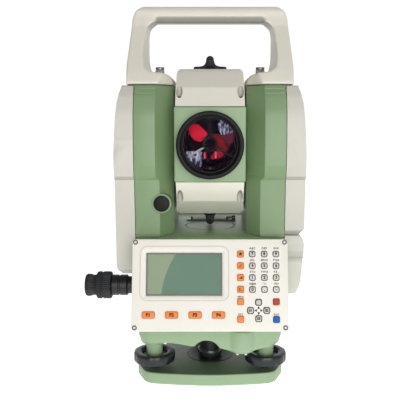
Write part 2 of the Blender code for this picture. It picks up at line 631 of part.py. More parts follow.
def build_sight(name, sign, pivot):
    """A collimator sight: a foot and a round-topped block with a hole along the line of sight."""
    width, depth, height = SIGHT_BASE
    low, high = sorted((sign * SIGHT_BASE_BOTTOM, sign * (SIGHT_BASE_BOTTOM + height)))
    foot = box(name, (-width / 2, -depth / 2, low), (width / 2, depth / 2, high), pivot, BLACK)
    soften(foot, SIGHT_EDGE, segments=1)
    lug_width, lug_depth, lug_height = SIGHT_LUG
    half = lug_width / 2
    base = SIGHT_LUG_TOP - lug_height
    arc = []
    for step in range(SIGHT_ARC_STEPS + 1):
        angle = math.pi * step / SIGHT_ARC_STEPS
        arc.append((half * math.cos(angle), SIGHT_LUG_TOP - half + half * math.sin(angle)))
    outline = [(-half, base), (half, base)] + arc
    if sign < 0:
        outline = flipped(outline)
    lug = flat(name + "_lug", outline, lug_depth, (0, 0, 0), "front", pivot)
    hole_place = (0, 0, sign * (SIGHT_LUG_TOP - half))
    hole = cylinder_profile(SIGHT_HOLE_RADIUS, -lug_depth, lug_depth)
    join(foot, lug)
    cut(foot, turned(name + "_hole", hole, hole_place, "front", pivot, steps=SMALL_STEPS))


def key_places():
    """Every separate key of a panel as name, centre, size and look."""
    keys = []
    for number, across in enumerate(FUNCTION_KEY_X, start=1):
        keys.append((f"function_key_{number}", (across, FUNCTION_KEY_Y), FUNCTION_KEY_SIZE, ORANGE))
    for number, along in enumerate(KEY_ROWS, start=1):
        keys.append((f"symbol_key_{number}", (SYMBOL_KEY_X, along), KEY_SIZE, ORANGE))
    keys.append(("menu_key", MENU_KEY, KEY_SIZE, ORANGE))
    keys.append(("escape_key", ESCAPE_KEY, KEY_SIZE, ORANGE))
    keys.append(("power_key", POWER_KEY, KEY_SIZE, RED))
    keys.append(("enter_key", ENTER_KEY, KEY_SIZE, BLUE))
    for name, across, along in (("up", 0, 1), ("down", 0, -1), ("left", -1, 0), ("right", 1, 0)):
        centre = (ARROW_CENTRE[0] + across * ARROW_REACH, ARROW_CENTRE[1] + along * ARROW_REACH)
        keys.append((f"{name}_key", centre, ARROW_KEY_SIZE, GREY))
    return keys


def number_places():
    return [(across, along) for along in KEY_ROWS for across in NUMBER_KEY_X]


def grown(size, margin):
    return tuple(length + 2 * margin for length in size)


def key_body(name, centre, size, bottom, top, panel, look=None):
    low = (centre[0] - size[0] / 2, centre[1] - size[1] / 2, bottom)
    high = (centre[0] + size[0] / 2, centre[1] + size[1] / 2, top)
    return box(name, low, high, panel, look)


def build_panel(prefix, facing, axis, separate_keys):
    """One operating panel: case, faceplate, display and keys, on an empty in the faceplate's plane."""
    turn_about_up = 0 if facing < 0 else 180
    centre = (0, -facing * PANEL_CENTRE_Y, PANEL_CENTRE_Z)
    panel = make_empty(prefix + "_panel_plane", centre, (90 - PANEL_TILT, 0, turn_about_up), axis)

    side = [(-facing * across, along) for across, along in CASE_SIDE]
    case = flat(prefix + "_panel_case", side, 2 * CASE_HALF_WIDTH, (0, 0, 0), "profile", axis, GREEN)
    soften(case, CASE_EDGE, angle=35)
    width, height, depth = CASE_POCKET_SIZE
    pocket_low = (-width / 2, -height / 2, -depth - PANEL_THICKNESS)
    cut(case, box(prefix + "_pocket", pocket_low, (width / 2, height / 2, OVERRUN), panel))

    outline = rounded(rectangle(PANEL_SIZE), PANEL_CORNER)
    middle = (0, 0, -PANEL_THICKNESS / 2)
    faceplate = flat(prefix + "_faceplate", outline, PANEL_THICKNESS, middle, "up", panel, CREAM)
    window = rectangle(WINDOW_SIZE, WINDOW_CENTRE)
    cut(faceplate, flat(prefix + "_window", window, WINDOW_CUT, (0, 0, 0), "up", panel))
    reach = KEY_HOLE_REACH
    holes = [(name, place_on, size) for name, place_on, size, _look in key_places()]
    for number, place_on in enumerate(number_places(), start=1):
        holes.append((f"number_{number}", place_on, KEY_SIZE))
    for name, place_on, size in holes:
        size = grown(size, KEY_CLEARANCE)
        cut(faceplate, key_body(f"{prefix}_{name}_hole", place_on, size, -reach, reach, panel))

    glass = rectangle(grown(WINDOW_SIZE, -GAP), WINDOW_CENTRE)
    glass_middle = (0, 0, -DISPLAY_RECESS - DISPLAY_THICKNESS / 2)
    flat(prefix + "_display", glass, DISPLAY_THICKNESS, glass_middle, "up", panel, LCD)

    mat_keys = [(place_on, KEY_SIZE) for place_on in number_places()]
    if separate_keys:
        for name, place_on, size, look in key_places():
            key_body(name, place_on, size, KEY_BOTTOM, KEY_TOP, panel, look)
    else:
        mat_keys += [(place_on, size) for _name, place_on, size, _look in key_places()]
    build_mat(prefix + "_keypad", mat_keys, panel)


def build_mat(name, keys, panel):
    """A rubber mat under the faceplate with its keys standing up through the holes."""
    reach = MAT_MARGIN
    left = min(centre[0] - size[0] / 2 for centre, size in keys) - reach
    right = max(centre[0] + size[0] / 2 for centre, size in keys) + reach
    bottom = min(centre[1] - size[1] / 2 for centre, size in keys) - reach
    top = max(centre[1] + size[1] / 2 for centre, size in keys) + reach
    if left < WINDOW_CENTRE[0]:
        mat = box(name, (left, bottom, MAT_BOTTOM), (right, MAT_STRIP_TOP, MAT_TOP), panel, GREY)
        low = (SYMBOL_KEY_X - KEY_SIZE[0] / 2 - reach, bottom + MAT_INSET, MAT_BOTTOM - MAT_STEP)
        high = (right - MAT_INSET, top, MAT_TOP - MAT_STEP)
        join(mat, box(name + "_block", low, high, panel))
    else:
        mat = box(name, (left, bottom, MAT_BOTTOM), (right, top, MAT_TOP), panel, GREY)
    for number, (centre, size) in enumerate(keys, start=1):
        join(mat, key_body(f"{name}_{number}", centre, size, MAT_BOTTOM + GAP, KEY_TOP, panel))


clear_scene()
PARTS = new_collection("Total station")
CUTTERS = new_collection("Cutters")
AXIS = make_empty("vertical_axis", (AXIS_X, 0, 0))
PIVOT = make_empty("telescope_pivot", (0, 0, TILT_AXIS), parent=AXIS)
build_tribrach(AXIS)
build_alidade_base(AXIS)
build_standard("left_standard", -1, AXIS)
build_standard("right_standard", 1, AXIS)
build_cover("left_cover", -1, LEFT_COVER_BOTTOM, AXIS)
build_cover("right_cover", 1, RIGHT_COVER_BOTTOM, AXIS)
build_battery(AXIS)
build_handle(AXIS)
build_alidade_fittings(AXIS)
build_telescope(PIVOT)
build_panel("front", -1, AXIS, True)
build_panel("rear", 1, AXIS, False)
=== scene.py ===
"""A two-faced surveying total station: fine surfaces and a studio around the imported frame.

Shapes are drawn in millimetres in a local place (the instrument axis, the telescope's tilt axis or a
panel's plane) and brought into the world by that place's matrix.
"""
import json
import math

import bmesh
import bpy
from mathutils import Matrix, Vector


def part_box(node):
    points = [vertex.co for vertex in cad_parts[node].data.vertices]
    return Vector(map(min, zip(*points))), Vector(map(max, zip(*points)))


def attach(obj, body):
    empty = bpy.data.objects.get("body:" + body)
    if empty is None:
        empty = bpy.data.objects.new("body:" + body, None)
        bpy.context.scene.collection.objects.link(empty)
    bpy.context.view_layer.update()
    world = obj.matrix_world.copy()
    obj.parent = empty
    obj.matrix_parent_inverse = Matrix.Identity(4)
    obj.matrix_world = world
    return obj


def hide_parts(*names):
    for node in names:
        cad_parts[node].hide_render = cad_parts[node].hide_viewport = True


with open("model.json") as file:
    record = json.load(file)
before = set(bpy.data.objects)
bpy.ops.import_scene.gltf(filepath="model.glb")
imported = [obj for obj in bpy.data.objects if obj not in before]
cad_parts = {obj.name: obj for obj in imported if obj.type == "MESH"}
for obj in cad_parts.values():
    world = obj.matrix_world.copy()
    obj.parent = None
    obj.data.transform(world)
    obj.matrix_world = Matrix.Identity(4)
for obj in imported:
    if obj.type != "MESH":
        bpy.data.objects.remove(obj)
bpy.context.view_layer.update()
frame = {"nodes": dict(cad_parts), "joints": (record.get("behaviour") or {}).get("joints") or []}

MM = 0.001
# Steps round a turned body.
KNURLED = 240
FINE = 96
MEDIUM = 48
SMALL = 24

# ---- places, read from the frame


def middle(node):
    low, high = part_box(node)
    return (low + high) / 2


def joint_axis(name):
    return next(Vector(joint["axis"]) for joint in frame["joints"] if joint["name"] == name)


def scaled(location, rotation=Matrix.Identity(3)):
    return Matrix.Translation(location) @ rotation.to_4x4() @ Matrix.Scale(MM, 4)


AXIS_X = middle("tripod_bush").x
TILT_Z = middle("vertical_circle").z
BODY = scaled(Vector((AXIS_X, 0, 0)))
TELESCOPE = scaled(Vector((AXIS_X, 0, TILT_Z)))
FACEPLATE_THICKNESS = 2.2


def panel_place(prefix):
    """The matrix of a panel's outer plane: X right, Y up the panel and Z out of it."""
    outward = -joint_axis(prefix + "_keypad_press").normalized()
    across = Vector((0, 0, 1)).cross(outward).normalized()
    upward = outward.cross(across)
    rotation = Matrix((across, upward, outward)).transposed()
    centre = middle(prefix + "_faceplate") + outward * FACEPLATE_THICKNESS / 2 * MM
    return scaled(centre, rotation)


# ---- materials

SLOT_OF = {}


def new_material(slot, name):
    material = bpy.data.materials.new(name)
    material.use_nodes = True
    SLOT_OF[material.name] = slot
    return material, material.node_tree, material.node_tree.nodes["Principled BSDF"]


def wire(tree, node, inputs):
    """Fill a node's inputs: a socket is linked, and anything else is the input's value."""
    for key, value in inputs.items():
        if isinstance(value, bpy.types.NodeSocket):
            tree.links.new(value, node.inputs[key])
        else:
            node.inputs[key].default_value = value


def add_node(tree, kind, inputs, output, **settings):
    """Add a shader node and give back one of its outputs."""
    node = tree.nodes.new("ShaderNode" + kind)
    for key, value in settings.items():
        setattr(node, key, value)
    wire(tree, node, inputs)
    return node.outputs[output]


def noise(tree, scale, detail, stretch=(1, 1, 1)):
    coordinates = add_node(tree, "TexCoord", {}, "Object")
    mapped_to = add_node(tree, "Mapping", {"Vector": coordinates, "Scale": stretch}, "Vector")
    return add_node(tree, "TexNoise", {"Vector": mapped_to, "Scale": scale, "Detail": detail}, "Fac")


def ramp(tree, factor, *stops):
    """Colours along a factor; each stop is a position and a colour, the lowest position first."""
    colour = add_node(tree, "ValToRGB", {"Fac": factor}, "Color")
    elements = colour.node.color_ramp.elements
    while len(elements) < len(stops):
        elements.new(1.0)
    for element, (position, stop) in zip(elements, stops):
        element.position = position
        element.color = (*stop, 1)
    return colour


def span(tree, factor, low, high, start=0.0, end=1.0):
    """The factor's stretch from start to end, brought to low to high."""
    inputs = {"Value": factor, "From Min": start, "From Max": end, "To Min": low, "To Max": high}
    return add_node(tree, "MapRange", inputs, "Result")


def component(tree, vector, axis):
    return add_node(tree, "SeparateXYZ", {"Vector": vector}, axis)


def multiplied(tree, first, second):
    inputs = {"Fac": 1.0, "Color1": first, "Color2": second}
    return add_node(tree, "MixRGB", inputs, "Color", blend_type="MULTIPLY")


def painted_facing_shade(tree, paint, painted_shade_below, painted_shade_above):
    """The paint times a grey that follows how far the face looks down or up: painted shade."""
    upward = component(tree, add_node(tree, "NewGeometry", {}, "Normal"), "Z")
    painted_shade_greys = ((0.04, painted_shade_below), (0.40, 1), (0.62, 1), (0.96, painted_shade_above))
    stops = [(position, (grey, grey, grey)) for position, grey in painted_shade_greys]
    return multiplied(tree, paint, ramp(tree, span(tree, upward, 0, 1, start=-1), *stops))


def surface(slot, name, colour, texture, metallic=0.0, coat=0.0, stretch=(1, 1, 1), specular=0.5,
            painted_shade_below=1.0, painted_shade_above=1.0):
    """A moulded or painted surface: fine grain in its relief, slow changes in its colour and gloss.

    The texture is its roughness, the grain's scale, the relief's strength and the mottle of its colour.
    Painted shade darkens the faces that look down or up, by the last two factors.
    """
    material, tree, shader = new_material(slot, name)
    roughness, grain, relief, mottle = texture
    pale = [min(1, channel * (1 + mottle)) for channel in colour]
    deep = [channel * (1 - mottle) for channel in colour]
    paint = ramp(tree, noise(tree, scale=28, detail=4), (0.3, deep), (0.7, pale))
    # Painted shade, by which way each face looks.
    if (painted_shade_below, painted_shade_above) != (1.0, 1.0):
        paint = painted_facing_shade(tree, paint, painted_shade_below, painted_shade_above)
    gloss = span(tree, noise(tree, scale=90, detail=5), roughness * 0.85, roughness * 1.15)
    height = noise(tree, grain, detail=2, stretch=stretch)
    bump = {"Strength": relief, "Distance": 0.0004, "Height": height}
    wire(tree, shader, {"Base Color": paint, "Roughness": gloss, "Metallic": metallic, "Coat Weight": coat,
                        "Specular IOR Level": specular, "Normal": add_node(tree, "Bump", bump, "Normal")})
    return material


CREAM_TEXTURE = (0.42, 1500, 0.10, 0.02)
PANEL_TEXTURE = (0.50, 1900, 0.08, 0.015)
GREEN_TEXTURE = (0.38, 1300, 0.14, 0.03)
CAST_TEXTURE = (0.40, 1200, 0.16, 0.03)
KEY_TEXTURE = (0.45, 2400, 0.10, 0.05)
METAL = {"metallic": 1.0}

# Painted shade: on the handle this cream darkens on faces that look down, such as the bar's underside.
CREAM = surface("cream_paint", "cream_paint", (0.82, 0.785, 0.682), CREAM_TEXTURE, painted_shade_below=0.30)
# Painted shade: a darker copy of the cream for the side covers and battery, darker still on faces that look down.
PAINTED_SHADE_COVER_CREAM = surface("cream_paint", "painted_shade_cover_cream", (0.645, 0.625, 0.555), CREAM_TEXTURE, painted_shade_below=0.55)
# Painted light: a lighter copy of the cream for the telescope, which sits shaded between the standards.
PAINTED_LIGHT_TELESCOPE_CREAM = surface("cream_paint", "painted_light_telescope_cream", (0.93, 0.895, 0.785), CREAM_TEXTURE)
PANEL_CREAM = surface("cream_paint", "panel_cream", (0.885, 0.855, 0.775), PANEL_TEXTURE)
# Painted shade: a darker copy of the panel cream for the line round the display.
PAINTED_FRAME_SHADE = surface("cream_paint", "painted_frame_shade", (0.72, 0.695, 0.62), PANEL_TEXTURE)
# Painted shade: a darker copy of the cream that lines the telescope covers' screw wells.
PAINTED_WELL_SHADE = surface("cream_paint", "painted_well_shade", (0.56, 0.535, 0.46), (0.45, 1500, 0.10, 0.02))
GREEN = surface("green_paint", "green_paint", (0.232, 0.342, 0.176), GREEN_TEXTURE)
# Painted light: a lighter copy of the green paint for the telescope, which sits shaded between the standards.
PAINTED_LIGHT_TELESCOPE_GREEN = surface("green_paint", "painted_light_telescope_green", (0.300, 0.425, 0.235), GREEN_TEXTURE)
TRIBRACH_GREEN = surface("green_paint", "tribrach_green", (0.315, 0.440, 0.265), CAST_TEXTURE)
# Painted shade: the base darkens on faces that look up, where the tribrach above shades its top.
BASE_GREEN = surface("green_paint", "base_green", (0.290, 0.405, 0.245), CAST_TEXTURE, painted_shade_above=0.34)
# Painted shade: a darker copy of the green for the plate level's foot on the floor under the telescope.
PAINTED_SHADE_FLOOR_GREEN = surface("green_paint", "painted_shade_floor_green", (0.115, 0.160, 0.115), (0.22, 1300, 0.06, 0.05))
BLACK = surface("black_plastic", "black_plastic", (0.009, 0.010, 0.011), (0.36, 1600, 0.25, 0.15))
RUBBER = surface("black_plastic", "black_rubber", (0.013, 0.015, 0.018), (0.52, 2200, 0.35, 0.20))
LENS_BLACK = surface("black_plastic", "lens_black", (0.008, 0.008, 0.009), (0.48, 1500, 0.15, 0.2),
                     specular=0.22)
TUBE_BLACK = surface("black_plastic", "tube_black", (0.007, 0.004, 0.007), (0.60, 300, 0.20, 0.5),
                     specular=0.08)
KNOB_BLACK = surface("black_plastic", "knob_black", (0.008, 0.011, 0.014), (0.30, 1700, 0.14, 0.15))
BUSH_GLOSS = surface("black_plastic", "bush_gloss", (0.022, 0.022, 0.023), (0.22, 1100, 0.12, 0.2), coat=0.2)
GLOSS_BLACK = surface("black_plastic", "gloss_black", (0.010, 0.010, 0.012), (0.12, 900, 0.04, 0.2), coat=0.5)
INK = surface("black_plastic", "printed_ink", (0.030, 0.027, 0.025), (0.55, 2400, 0.05, 0.2), specular=0.2)
RED_INK = surface("black_plastic", "red_ink", (0.10, 0.010, 0.006), (0.55, 2400, 0.05, 0.1), specular=0.2)
STEEL = surface("steel", "turned_steel", (0.60, 0.59, 0.57), (0.24, 700, 0.10, 0.06), stretch=(1, 1, 14), **METAL)
SCREW_STEEL = surface("steel", "knurled_steel", (0.36, 0.355, 0.34), (0.50, 700, 0.10, 0.08), **METAL)
DARK_STEEL = surface("steel", "dark_steel", (0.20, 0.20, 0.20), (0.30, 700, 0.12, 0.1), **METAL)
SCREW_RING = surface("steel", "screw_ring", (0.085, 0.078, 0.070), (0.35, 900, 0.1, 0.1), metallic=0.2)
WHITE_MARK = surface("steel", "white_mark", (0.75, 0.75, 0.72), (0.40, 1500, 0.05, 0.05))
ORANGE = surface("orange_rubber", "orange_rubber", (0.93, 0.270, 0.065), (0.45, 2400, 0.10, 0.04), specular=0.2)
RED = surface("red_rubber", "red_rubber", (0.50, 0.050, 0.036), KEY_TEXTURE, specular=0.2)
BLUE = surface("blue_rubber", "blue_rubber", (0.008, 0.115, 0.430), (0.42, 2400, 0.10, 0.05), specular=0.2)
CLEAR_KEY = surface("grey_rubber", "clear_key", (0.66, 0.66, 0.62), (0.35, 2400, 0.08, 0.04))
PALE_KEY = surface("grey_rubber", "pale_key", (0.56, 0.55, 0.51), KEY_TEXTURE)
CIRCUIT = surface("circuit_board", "circuit_board", (0.02, 0.13, 0.06), (0.40, 500, 0.30, 0.25))
VIAL = surface("clear_glass", "level_vial", (0.62, 0.78, 0.30), (0.06, 400, 0.02, 0.06), coat=0.8)


def painted_glow(slot, name, deep, pale, scale, strength=0.42, stretch=(1, 1, 1), start=0.35, end=0.65):
    """A coating seen through the objective: streaks between two colours, with a painted glow from within though
    it is no lamp.
    """
    material, tree, shader = new_material(slot, name)
    colour = ramp(tree, noise(tree, scale, 4, stretch), (start, deep), (end, pale))
    gloss = span(tree, noise(tree, scale=90, detail=3), 0.35, 0.55)
    wire(tree, shader, {"Base Color": colour, "Emission Color": colour, "Emission Strength": strength,
                        "Roughness": gloss, "Specular IOR Level": 0.1})
    return material


# Red coatings behind the objective: their red is their own colour, their glow is painted light.
EDM_RED = painted_glow("red_rubber", "red_filter", (0.46, 0.002, 0.016), (0.90, 0.010, 0.045), 110)
EDM_DEEP_RED = painted_glow("red_rubber", "deep_red_filter", (0.13, 0.001, 0.001), (0.30, 0.003, 0.003), 120)
EDM_CRIMSON = painted_glow("red_rubber", "crimson_filter", (0.16, 0.002, 0.014), (0.50, 0.008, 0.050), 140)
EDM_SHADE = painted_glow("red_rubber", "wine_shade", (0.050, 0.006, 0.016), (0.24, 0.022, 0.065), 160)
# Painted reflection: glowing pale streaks for the room reflected in the coated glass.
EDM_PAINTED_REFLECTION = painted_glow("coated_glass", "painted_reflection_streaks", (0.020, 0.018, 0.045), (0.62, 0.62, 0.90), 640, 0.50,
                   stretch=(1.0, 1.0, 0.34), start=0.45, end=0.66)
# Painted highlight: glowing pink stripes along the edges of the red coatings.
EDM_PAINTED_HIGHLIGHT = painted_glow("red_rubber", "pink_painted_highlight", (0.80, 0.08, 0.12), (0.95, 0.30, 0.36), 200, 0.50)


def glass(slot, name, colour, alpha, coat=1.0, specular=0.5):
    material, tree, shader = new_material(slot, name)
    roughness = 0.02
    pale = [min(1, channel * 1.25) for channel in colour]
    tint = ramp(tree, noise(tree, scale=40, detail=3), (0.3, colour), (0.7, pale))
    gloss = span(tree, noise(tree, scale=300, detail=4), roughness, roughness * 2.2)
    wire(tree, shader, {"Base Color": tint, "Roughness": gloss, "Alpha": alpha, "Coat Weight": coat,
                        "Coat Roughness": roughness, "Specular IOR Level": specular})
    return material


LENS_GLASS = glass("coated_glass", "coated_lens", (0.012, 0.004, 0.018), 0.10, coat=0.0, specular=0.12)
CLEAR_GLASS = glass("clear_glass", "clear_glass", (0.80, 0.86, 0.84), 0.28)


def display_material(prefix, place):
    """Green-grey liquid crystal with a painted reflection: a paler olive stretch left of a curved edge."""
    material, tree, shader = new_material("lcd_panel", prefix + "_liquid_crystal")
    # Painted reflection: the paler olive stretch lies beyond an 82 mm arc round this centre.
    reflection_arc_centre = place @ Vector((38.9, -17.3, 0))
    points = {0: add_node(tree, "TexCoord", {}, "Object"), 1: reflection_arc_centre}
    distance = add_node(tree, "VectorMath", points, "Value", operation="DISTANCE")
    edge = span(tree, distance, 0, 1, 82.0 * MM, 82.8 * MM)
    painted_reflection_colours = ramp(tree, edge, (0, (0.135, 0.235, 0.165)), (1, (0.290, 0.360, 0.235)))
    veil = ramp(tree, noise(tree, scale=16, detail=2), (0.3, (0.90, 0.90, 0.90)), (0.7, (1, 1, 1)))
    gloss = span(tree, noise(tree, scale=200, detail=3), 0.16, 0.24)
    wire(tree, shader, {"Base Color": multiplied(tree, painted_reflection_colours, veil), "Roughness": gloss,
                        "Specular IOR Level": 0.15})
    return material


# ---- shapes, in local millimetres


def block(low, high):
    low, high = Vector(low), Vector(high)
    shape = bmesh.new()
    bmesh.ops.create_cube(shape, size=1)
    bmesh.ops.transform(shape, matrix=Matrix.Diagonal((*(high - low), 1)), verts=shape.verts)
    bmesh.ops.translate(shape, vec=(low + high) / 2, verts=shape.verts)
    return shape


def mapped(plane, across, along, depth):
    if plane == "front":
        return (across, depth, along)
    if plane == "side":
        return (depth, across, along)
    return (across, along, depth)


def lofted(sections):
    """A closed skin over sections, each a list of corner points with the same count, in their order."""
    shape = bmesh.new()
    rings = [[shape.verts.new(point) for point in section] for section in sections]
    shape.faces.new(rings[0])
    shape.faces.new(rings[-1])
    for below, above in zip(rings, rings[1:]):
        for index in range(len(below)):
            after = (index + 1) % len(below)
            shape.faces.new((below[index], below[after], above[after], above[index]))
    bmesh.ops.recalc_face_normals(shape, faces=shape.faces)
    return shape


def prism(outline, low, high, plane="top"):
    """An outline drawn in a plane and given depth from low to high across that plane."""
    return lofted([[mapped(plane, across, along, depth) for across, along in outline] for depth in (low, high)])


TURN_OF = {
    "up": Matrix.Identity(3),
    "left": Matrix.Rotation(-math.pi / 2, 3, "Y"),
    "right": Matrix.Rotation(math.pi / 2, 3, "Y"),
    "front": Matrix.Rotation(math.pi / 2, 3, "X"),
    "back": Matrix.Rotation(-math.pi / 2, 3, "X"),
}


def lathe(profile, steps=MEDIUM, turn="up", centre=(0, 0, 0), flutes=None):
    """A turned body from (radius, height) points; flutes is (first, last, count, depth) in profile points."""
    shape = bmesh.new()
    rings = []
    for number, (radius, height) in enumerate(profile):
        if radius == 0:
            rings.append([shape.verts.new((0, 0, height))])
            continue
        ring = []
        for step in range(steps):
            angle = 2 * math.pi * step / steps
            reach = radius
            if flutes and flutes[0] <= number <= flutes[1]:
                reach -= flutes[3] * (0.5 + 0.5 * math.cos(flutes[2] * angle)) ** 3
            ring.append(shape.verts.new((reach * math.cos(angle), reach * math.sin(angle), height)))
        rings.append(ring)
    pairs = list(zip(rings, rings[1:]))
    if len(rings[0]) > 1 and len(rings[-1]) > 1:
        pairs.append((rings[-1], rings[0]))
    for above, below in pairs:
        for step in range(steps):
            after = (step + 1) % steps
            if len(above) == 1:
                shape.faces.new((above[0], below[step], below[after]))
            elif len(below) == 1:
                shape.faces.new((above[after], above[step], below[0]))
            else:
                shape.faces.new((above[after], above[step], below[step], below[after]))
    bmesh.ops.recalc_face_normals(shape, faces=shape.faces)
    bmesh.ops.rotate(shape, cent=(0, 0, 0), matrix=TURN_OF[turn], verts=shape.verts)
    bmesh.ops.translate(shape, vec=centre, verts=shape.verts)
    return shape


def cylinder(radius, bottom, top, steps=MEDIUM, turn="up", centre=(0, 0, 0)):
    return lathe([(0, top), (radius, top), (radius, bottom), (0, bottom)], steps, turn, centre)


def dome_profile(radius, edge_height, top_height, bottom, steps=6):
    """A disc whose top rises from edge_height to top_height, with a flat underside."""
    points = []
    for step in range(steps + 1):
        angle = math.pi / 2 * step / steps
        points.append((radius * math.sin(angle), edge_height + (top_height - edge_height) * math.cos(angle)))
    return points + [(radius, bottom), (0, bottom)]


def mesh_of(name, shape):
    """A shape's mesh; the shape is used up."""
    mesh = bpy.data.meshes.new(name)
    shape.to_mesh(mesh)
    shape.free()
    return mesh


def placed(name, data):
    obj = bpy.data.objects.new(name, data)
    bpy.context.scene.collection.objects.link(obj)
    return obj


def temporary(shape):
    return placed("temporary", mesh_of("temporary", shape))


def evaluated(obj, *helpers):
    """The shape that an object's modifiers make; the object and its helpers are removed."""
    graph = bpy.context.evaluated_depsgraph_get()
    mesh = bpy.data.meshes.new_from_object(obj.evaluated_get(graph))
    for spent in (obj, *helpers):
        bpy.data.objects.remove(spent, do_unlink=True)
    return gathered(mesh)


def gathered(*meshes):
    """Meshes or shapes kept side by side in one shape; they are used up."""
    result = bmesh.new()
    for mesh in meshes:
        if isinstance(mesh, bmesh.types.BMesh):
            mesh = mesh_of("gathered", mesh)
        result.from_mesh(mesh)
        bpy.data.meshes.remove(mesh)
    return result


def combined(shape, others, operation):
    obj = temporary(shape)
    helpers = [temporary(other) for other in others]
    for helper in helpers:
        boolean = obj.modifiers.new("Boolean", "BOOLEAN")
        boolean.operation = operation
        boolean.object = helper
    return evaluated(obj, *helpers)


def cut(shape, *cutters):
    return combined(shape, cutters, "DIFFERENCE")


def common(shape, *others):
    return combined(shape, others, "INTERSECT")


def union(shape, *others):
    return combined(shape, others, "UNION")


def soft(shape, width, segments=3, angle=30):
    """A shape with its sharper edges rounded."""
    obj = temporary(shape)
    bevel = obj.modifiers.new("Bevel", "BEVEL")
    bevel.width = width
    bevel.segments = segments
    bevel.limit_method = "ANGLE"
    bevel.angle_limit = math.radians(angle)
    bevel.harden_normals = False
    return evaluated(obj)


def moulded(shape, voxel, rounds):
    """Voxel remesh and smoothing, for the soft edges of a moulding."""
    obj = temporary(shape)
    remesh = obj.modifiers.new("Remesh", "REMESH")
    remesh.mode = "VOXEL"
    remesh.voxel_size = voxel
    result = evaluated(obj)
    axes = {"use_axis_x": True, "use_axis_y": True, "use_axis_z": True}
    for _round in range(rounds):
        bmesh.ops.smooth_vert(result, verts=result.verts, factor=0.5, **axes)
    return result


def sided(points, side, facing=1):
    """Points reflected when side or facing is -1."""
    return [(side * across, facing * along) for across, along in points]


def mirrored(half):
    return half + sided(half, -1)[::-1]


def rounded(outline, radii, steps=6):
    """An outline with arcs at its corners; radii is one radius, or one for each corner with 0 for sharp."""
    count = len(outline)
    if not isinstance(radii, (list, tuple)):
        radii = [radii] * count
    result = []
    for index, (corner, radius) in enumerate(zip(outline, radii)):
        corner = Vector(corner)
        if radius == 0:
            result.append(tuple(corner))
            continue
        before = (Vector(outline[index - 1]) - corner).normalized()
        after = (Vector(outline[(index + 1) % count]) - corner).normalized()
        half_angle = before.angle(after) / 2
        centre = corner + (before + after).normalized() * radius / math.sin(half_angle)
        start = corner + before * radius / math.tan(half_angle) - centre
        sweep = -math.copysign(math.pi - 2 * half_angle, before.cross(after))
        for step in range(steps + 1):
            spoke = start.copy()
            spoke.rotate(Matrix.Rotation(sweep * step / steps, 2))
            result.append(tuple(centre + spoke))
    return result


def rectangle(width, height, centre=(0, 0)):
    signs = ((-1, -1), (1, -1), (1, 1), (-1, 1))
    return [(centre[0] + across * width / 2, centre[1] + along * height / 2) for across, along in signs]


def piece(name, shape, place, material, body, *replaces, smooth=35, slot=None):
    """Bring a shape into the world as a visible piece that rides on a body."""
    shape.transform(place)
    bmesh.ops.recalc_face_normals(shape, faces=shape.faces)
    mesh = mesh_of(name, shape)
    mesh.shade_smooth()
    mesh.set_sharp_from_angle(angle=math.radians(smooth))
    mesh.materials.append(material)
    obj = placed(name, mesh)
    slot = slot or SLOT_OF[material.name]
    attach(obj, body)
    if replaces:
        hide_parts(*replaces)


def lettering(text, size, centre, depth_range, weight):
    """Text as a thin closed shape, centred, between two depths over its plane; weight thickens its strokes."""
    curve = bpy.data.curves.new("text", "FONT")
    curve.body = text
    curve.size = size
    curve.align_x = "CENTER"
    curve.align_y = "CENTER"
    curve.resolution_u = 3
    curve.offset = weight
    curve.space_character = 1.25 if len(text) == 3 else 1.0
    curve.extrude = (depth_range[1] - depth_range[0]) / 2
    shape = evaluated(placed("text", curve))
    bmesh.ops.remove_doubles(shape, verts=shape.verts, dist=0.001)
    bmesh.ops.translate(shape, vec=(*centre, sum(depth_range) / 2), verts=shape.verts)
    return shape


# ---- tribrach

BASE_OUTLINE = [(-46, -50.5), (0, -55), (46, -50.5), (63, -47), (74, -21), (22, 80), (-22, 80), (-74, -21),
                (-63, -47)]
BASE_RADII = [60, 200, 60, 14, 12, 12, 12, 12, 14]
TRIBRACH_OUTLINE = [(-60, -50), (60, -50), (70, -40), (70, -22), (17, 80), (-17, 80), (-70, -22), (-70, -40)]
APRON = [(-72, 47), (-62, 41.8), (-44, 42.2), (-32, 41.2), (-18, 38.4), (0, 37.6), (10, 36.6),
         (19, 34.0), (26, 31.9), (33, 31.9), (43, 34.6), (57, 37.9), (64, 42), (72, 47), (72, 56), (-72, 56)]
LEVEL_X, LEVEL_Y = 31, -41
LEVEL = (LEVEL_X, LEVEL_Y, 0)
SCREW_CIRCLE = 63.8
SCREW_PLACES = [(SCREW_CIRCLE * math.cos(angle), SCREW_CIRCLE * math.sin(angle), 0)
                for angle in map(math.radians, (210, 330, 90))]
FOOTSCREW = [(0, 24.3), (6.8, 24.3), (11.6, 24.7), (12.9, 27.4), (14, 28.1), (15.5, 28.2), (18.6, 28.2),
             (20, 27.7), (20.5, 26.6), (20.5, 20.4), (20, 19.1), (18.9, 18.5), (8, 18.5), (7, 18.2),
             (5.4, 17), (5, 16), (5, 14.2), (4, 12.6), (0, 12.4)]


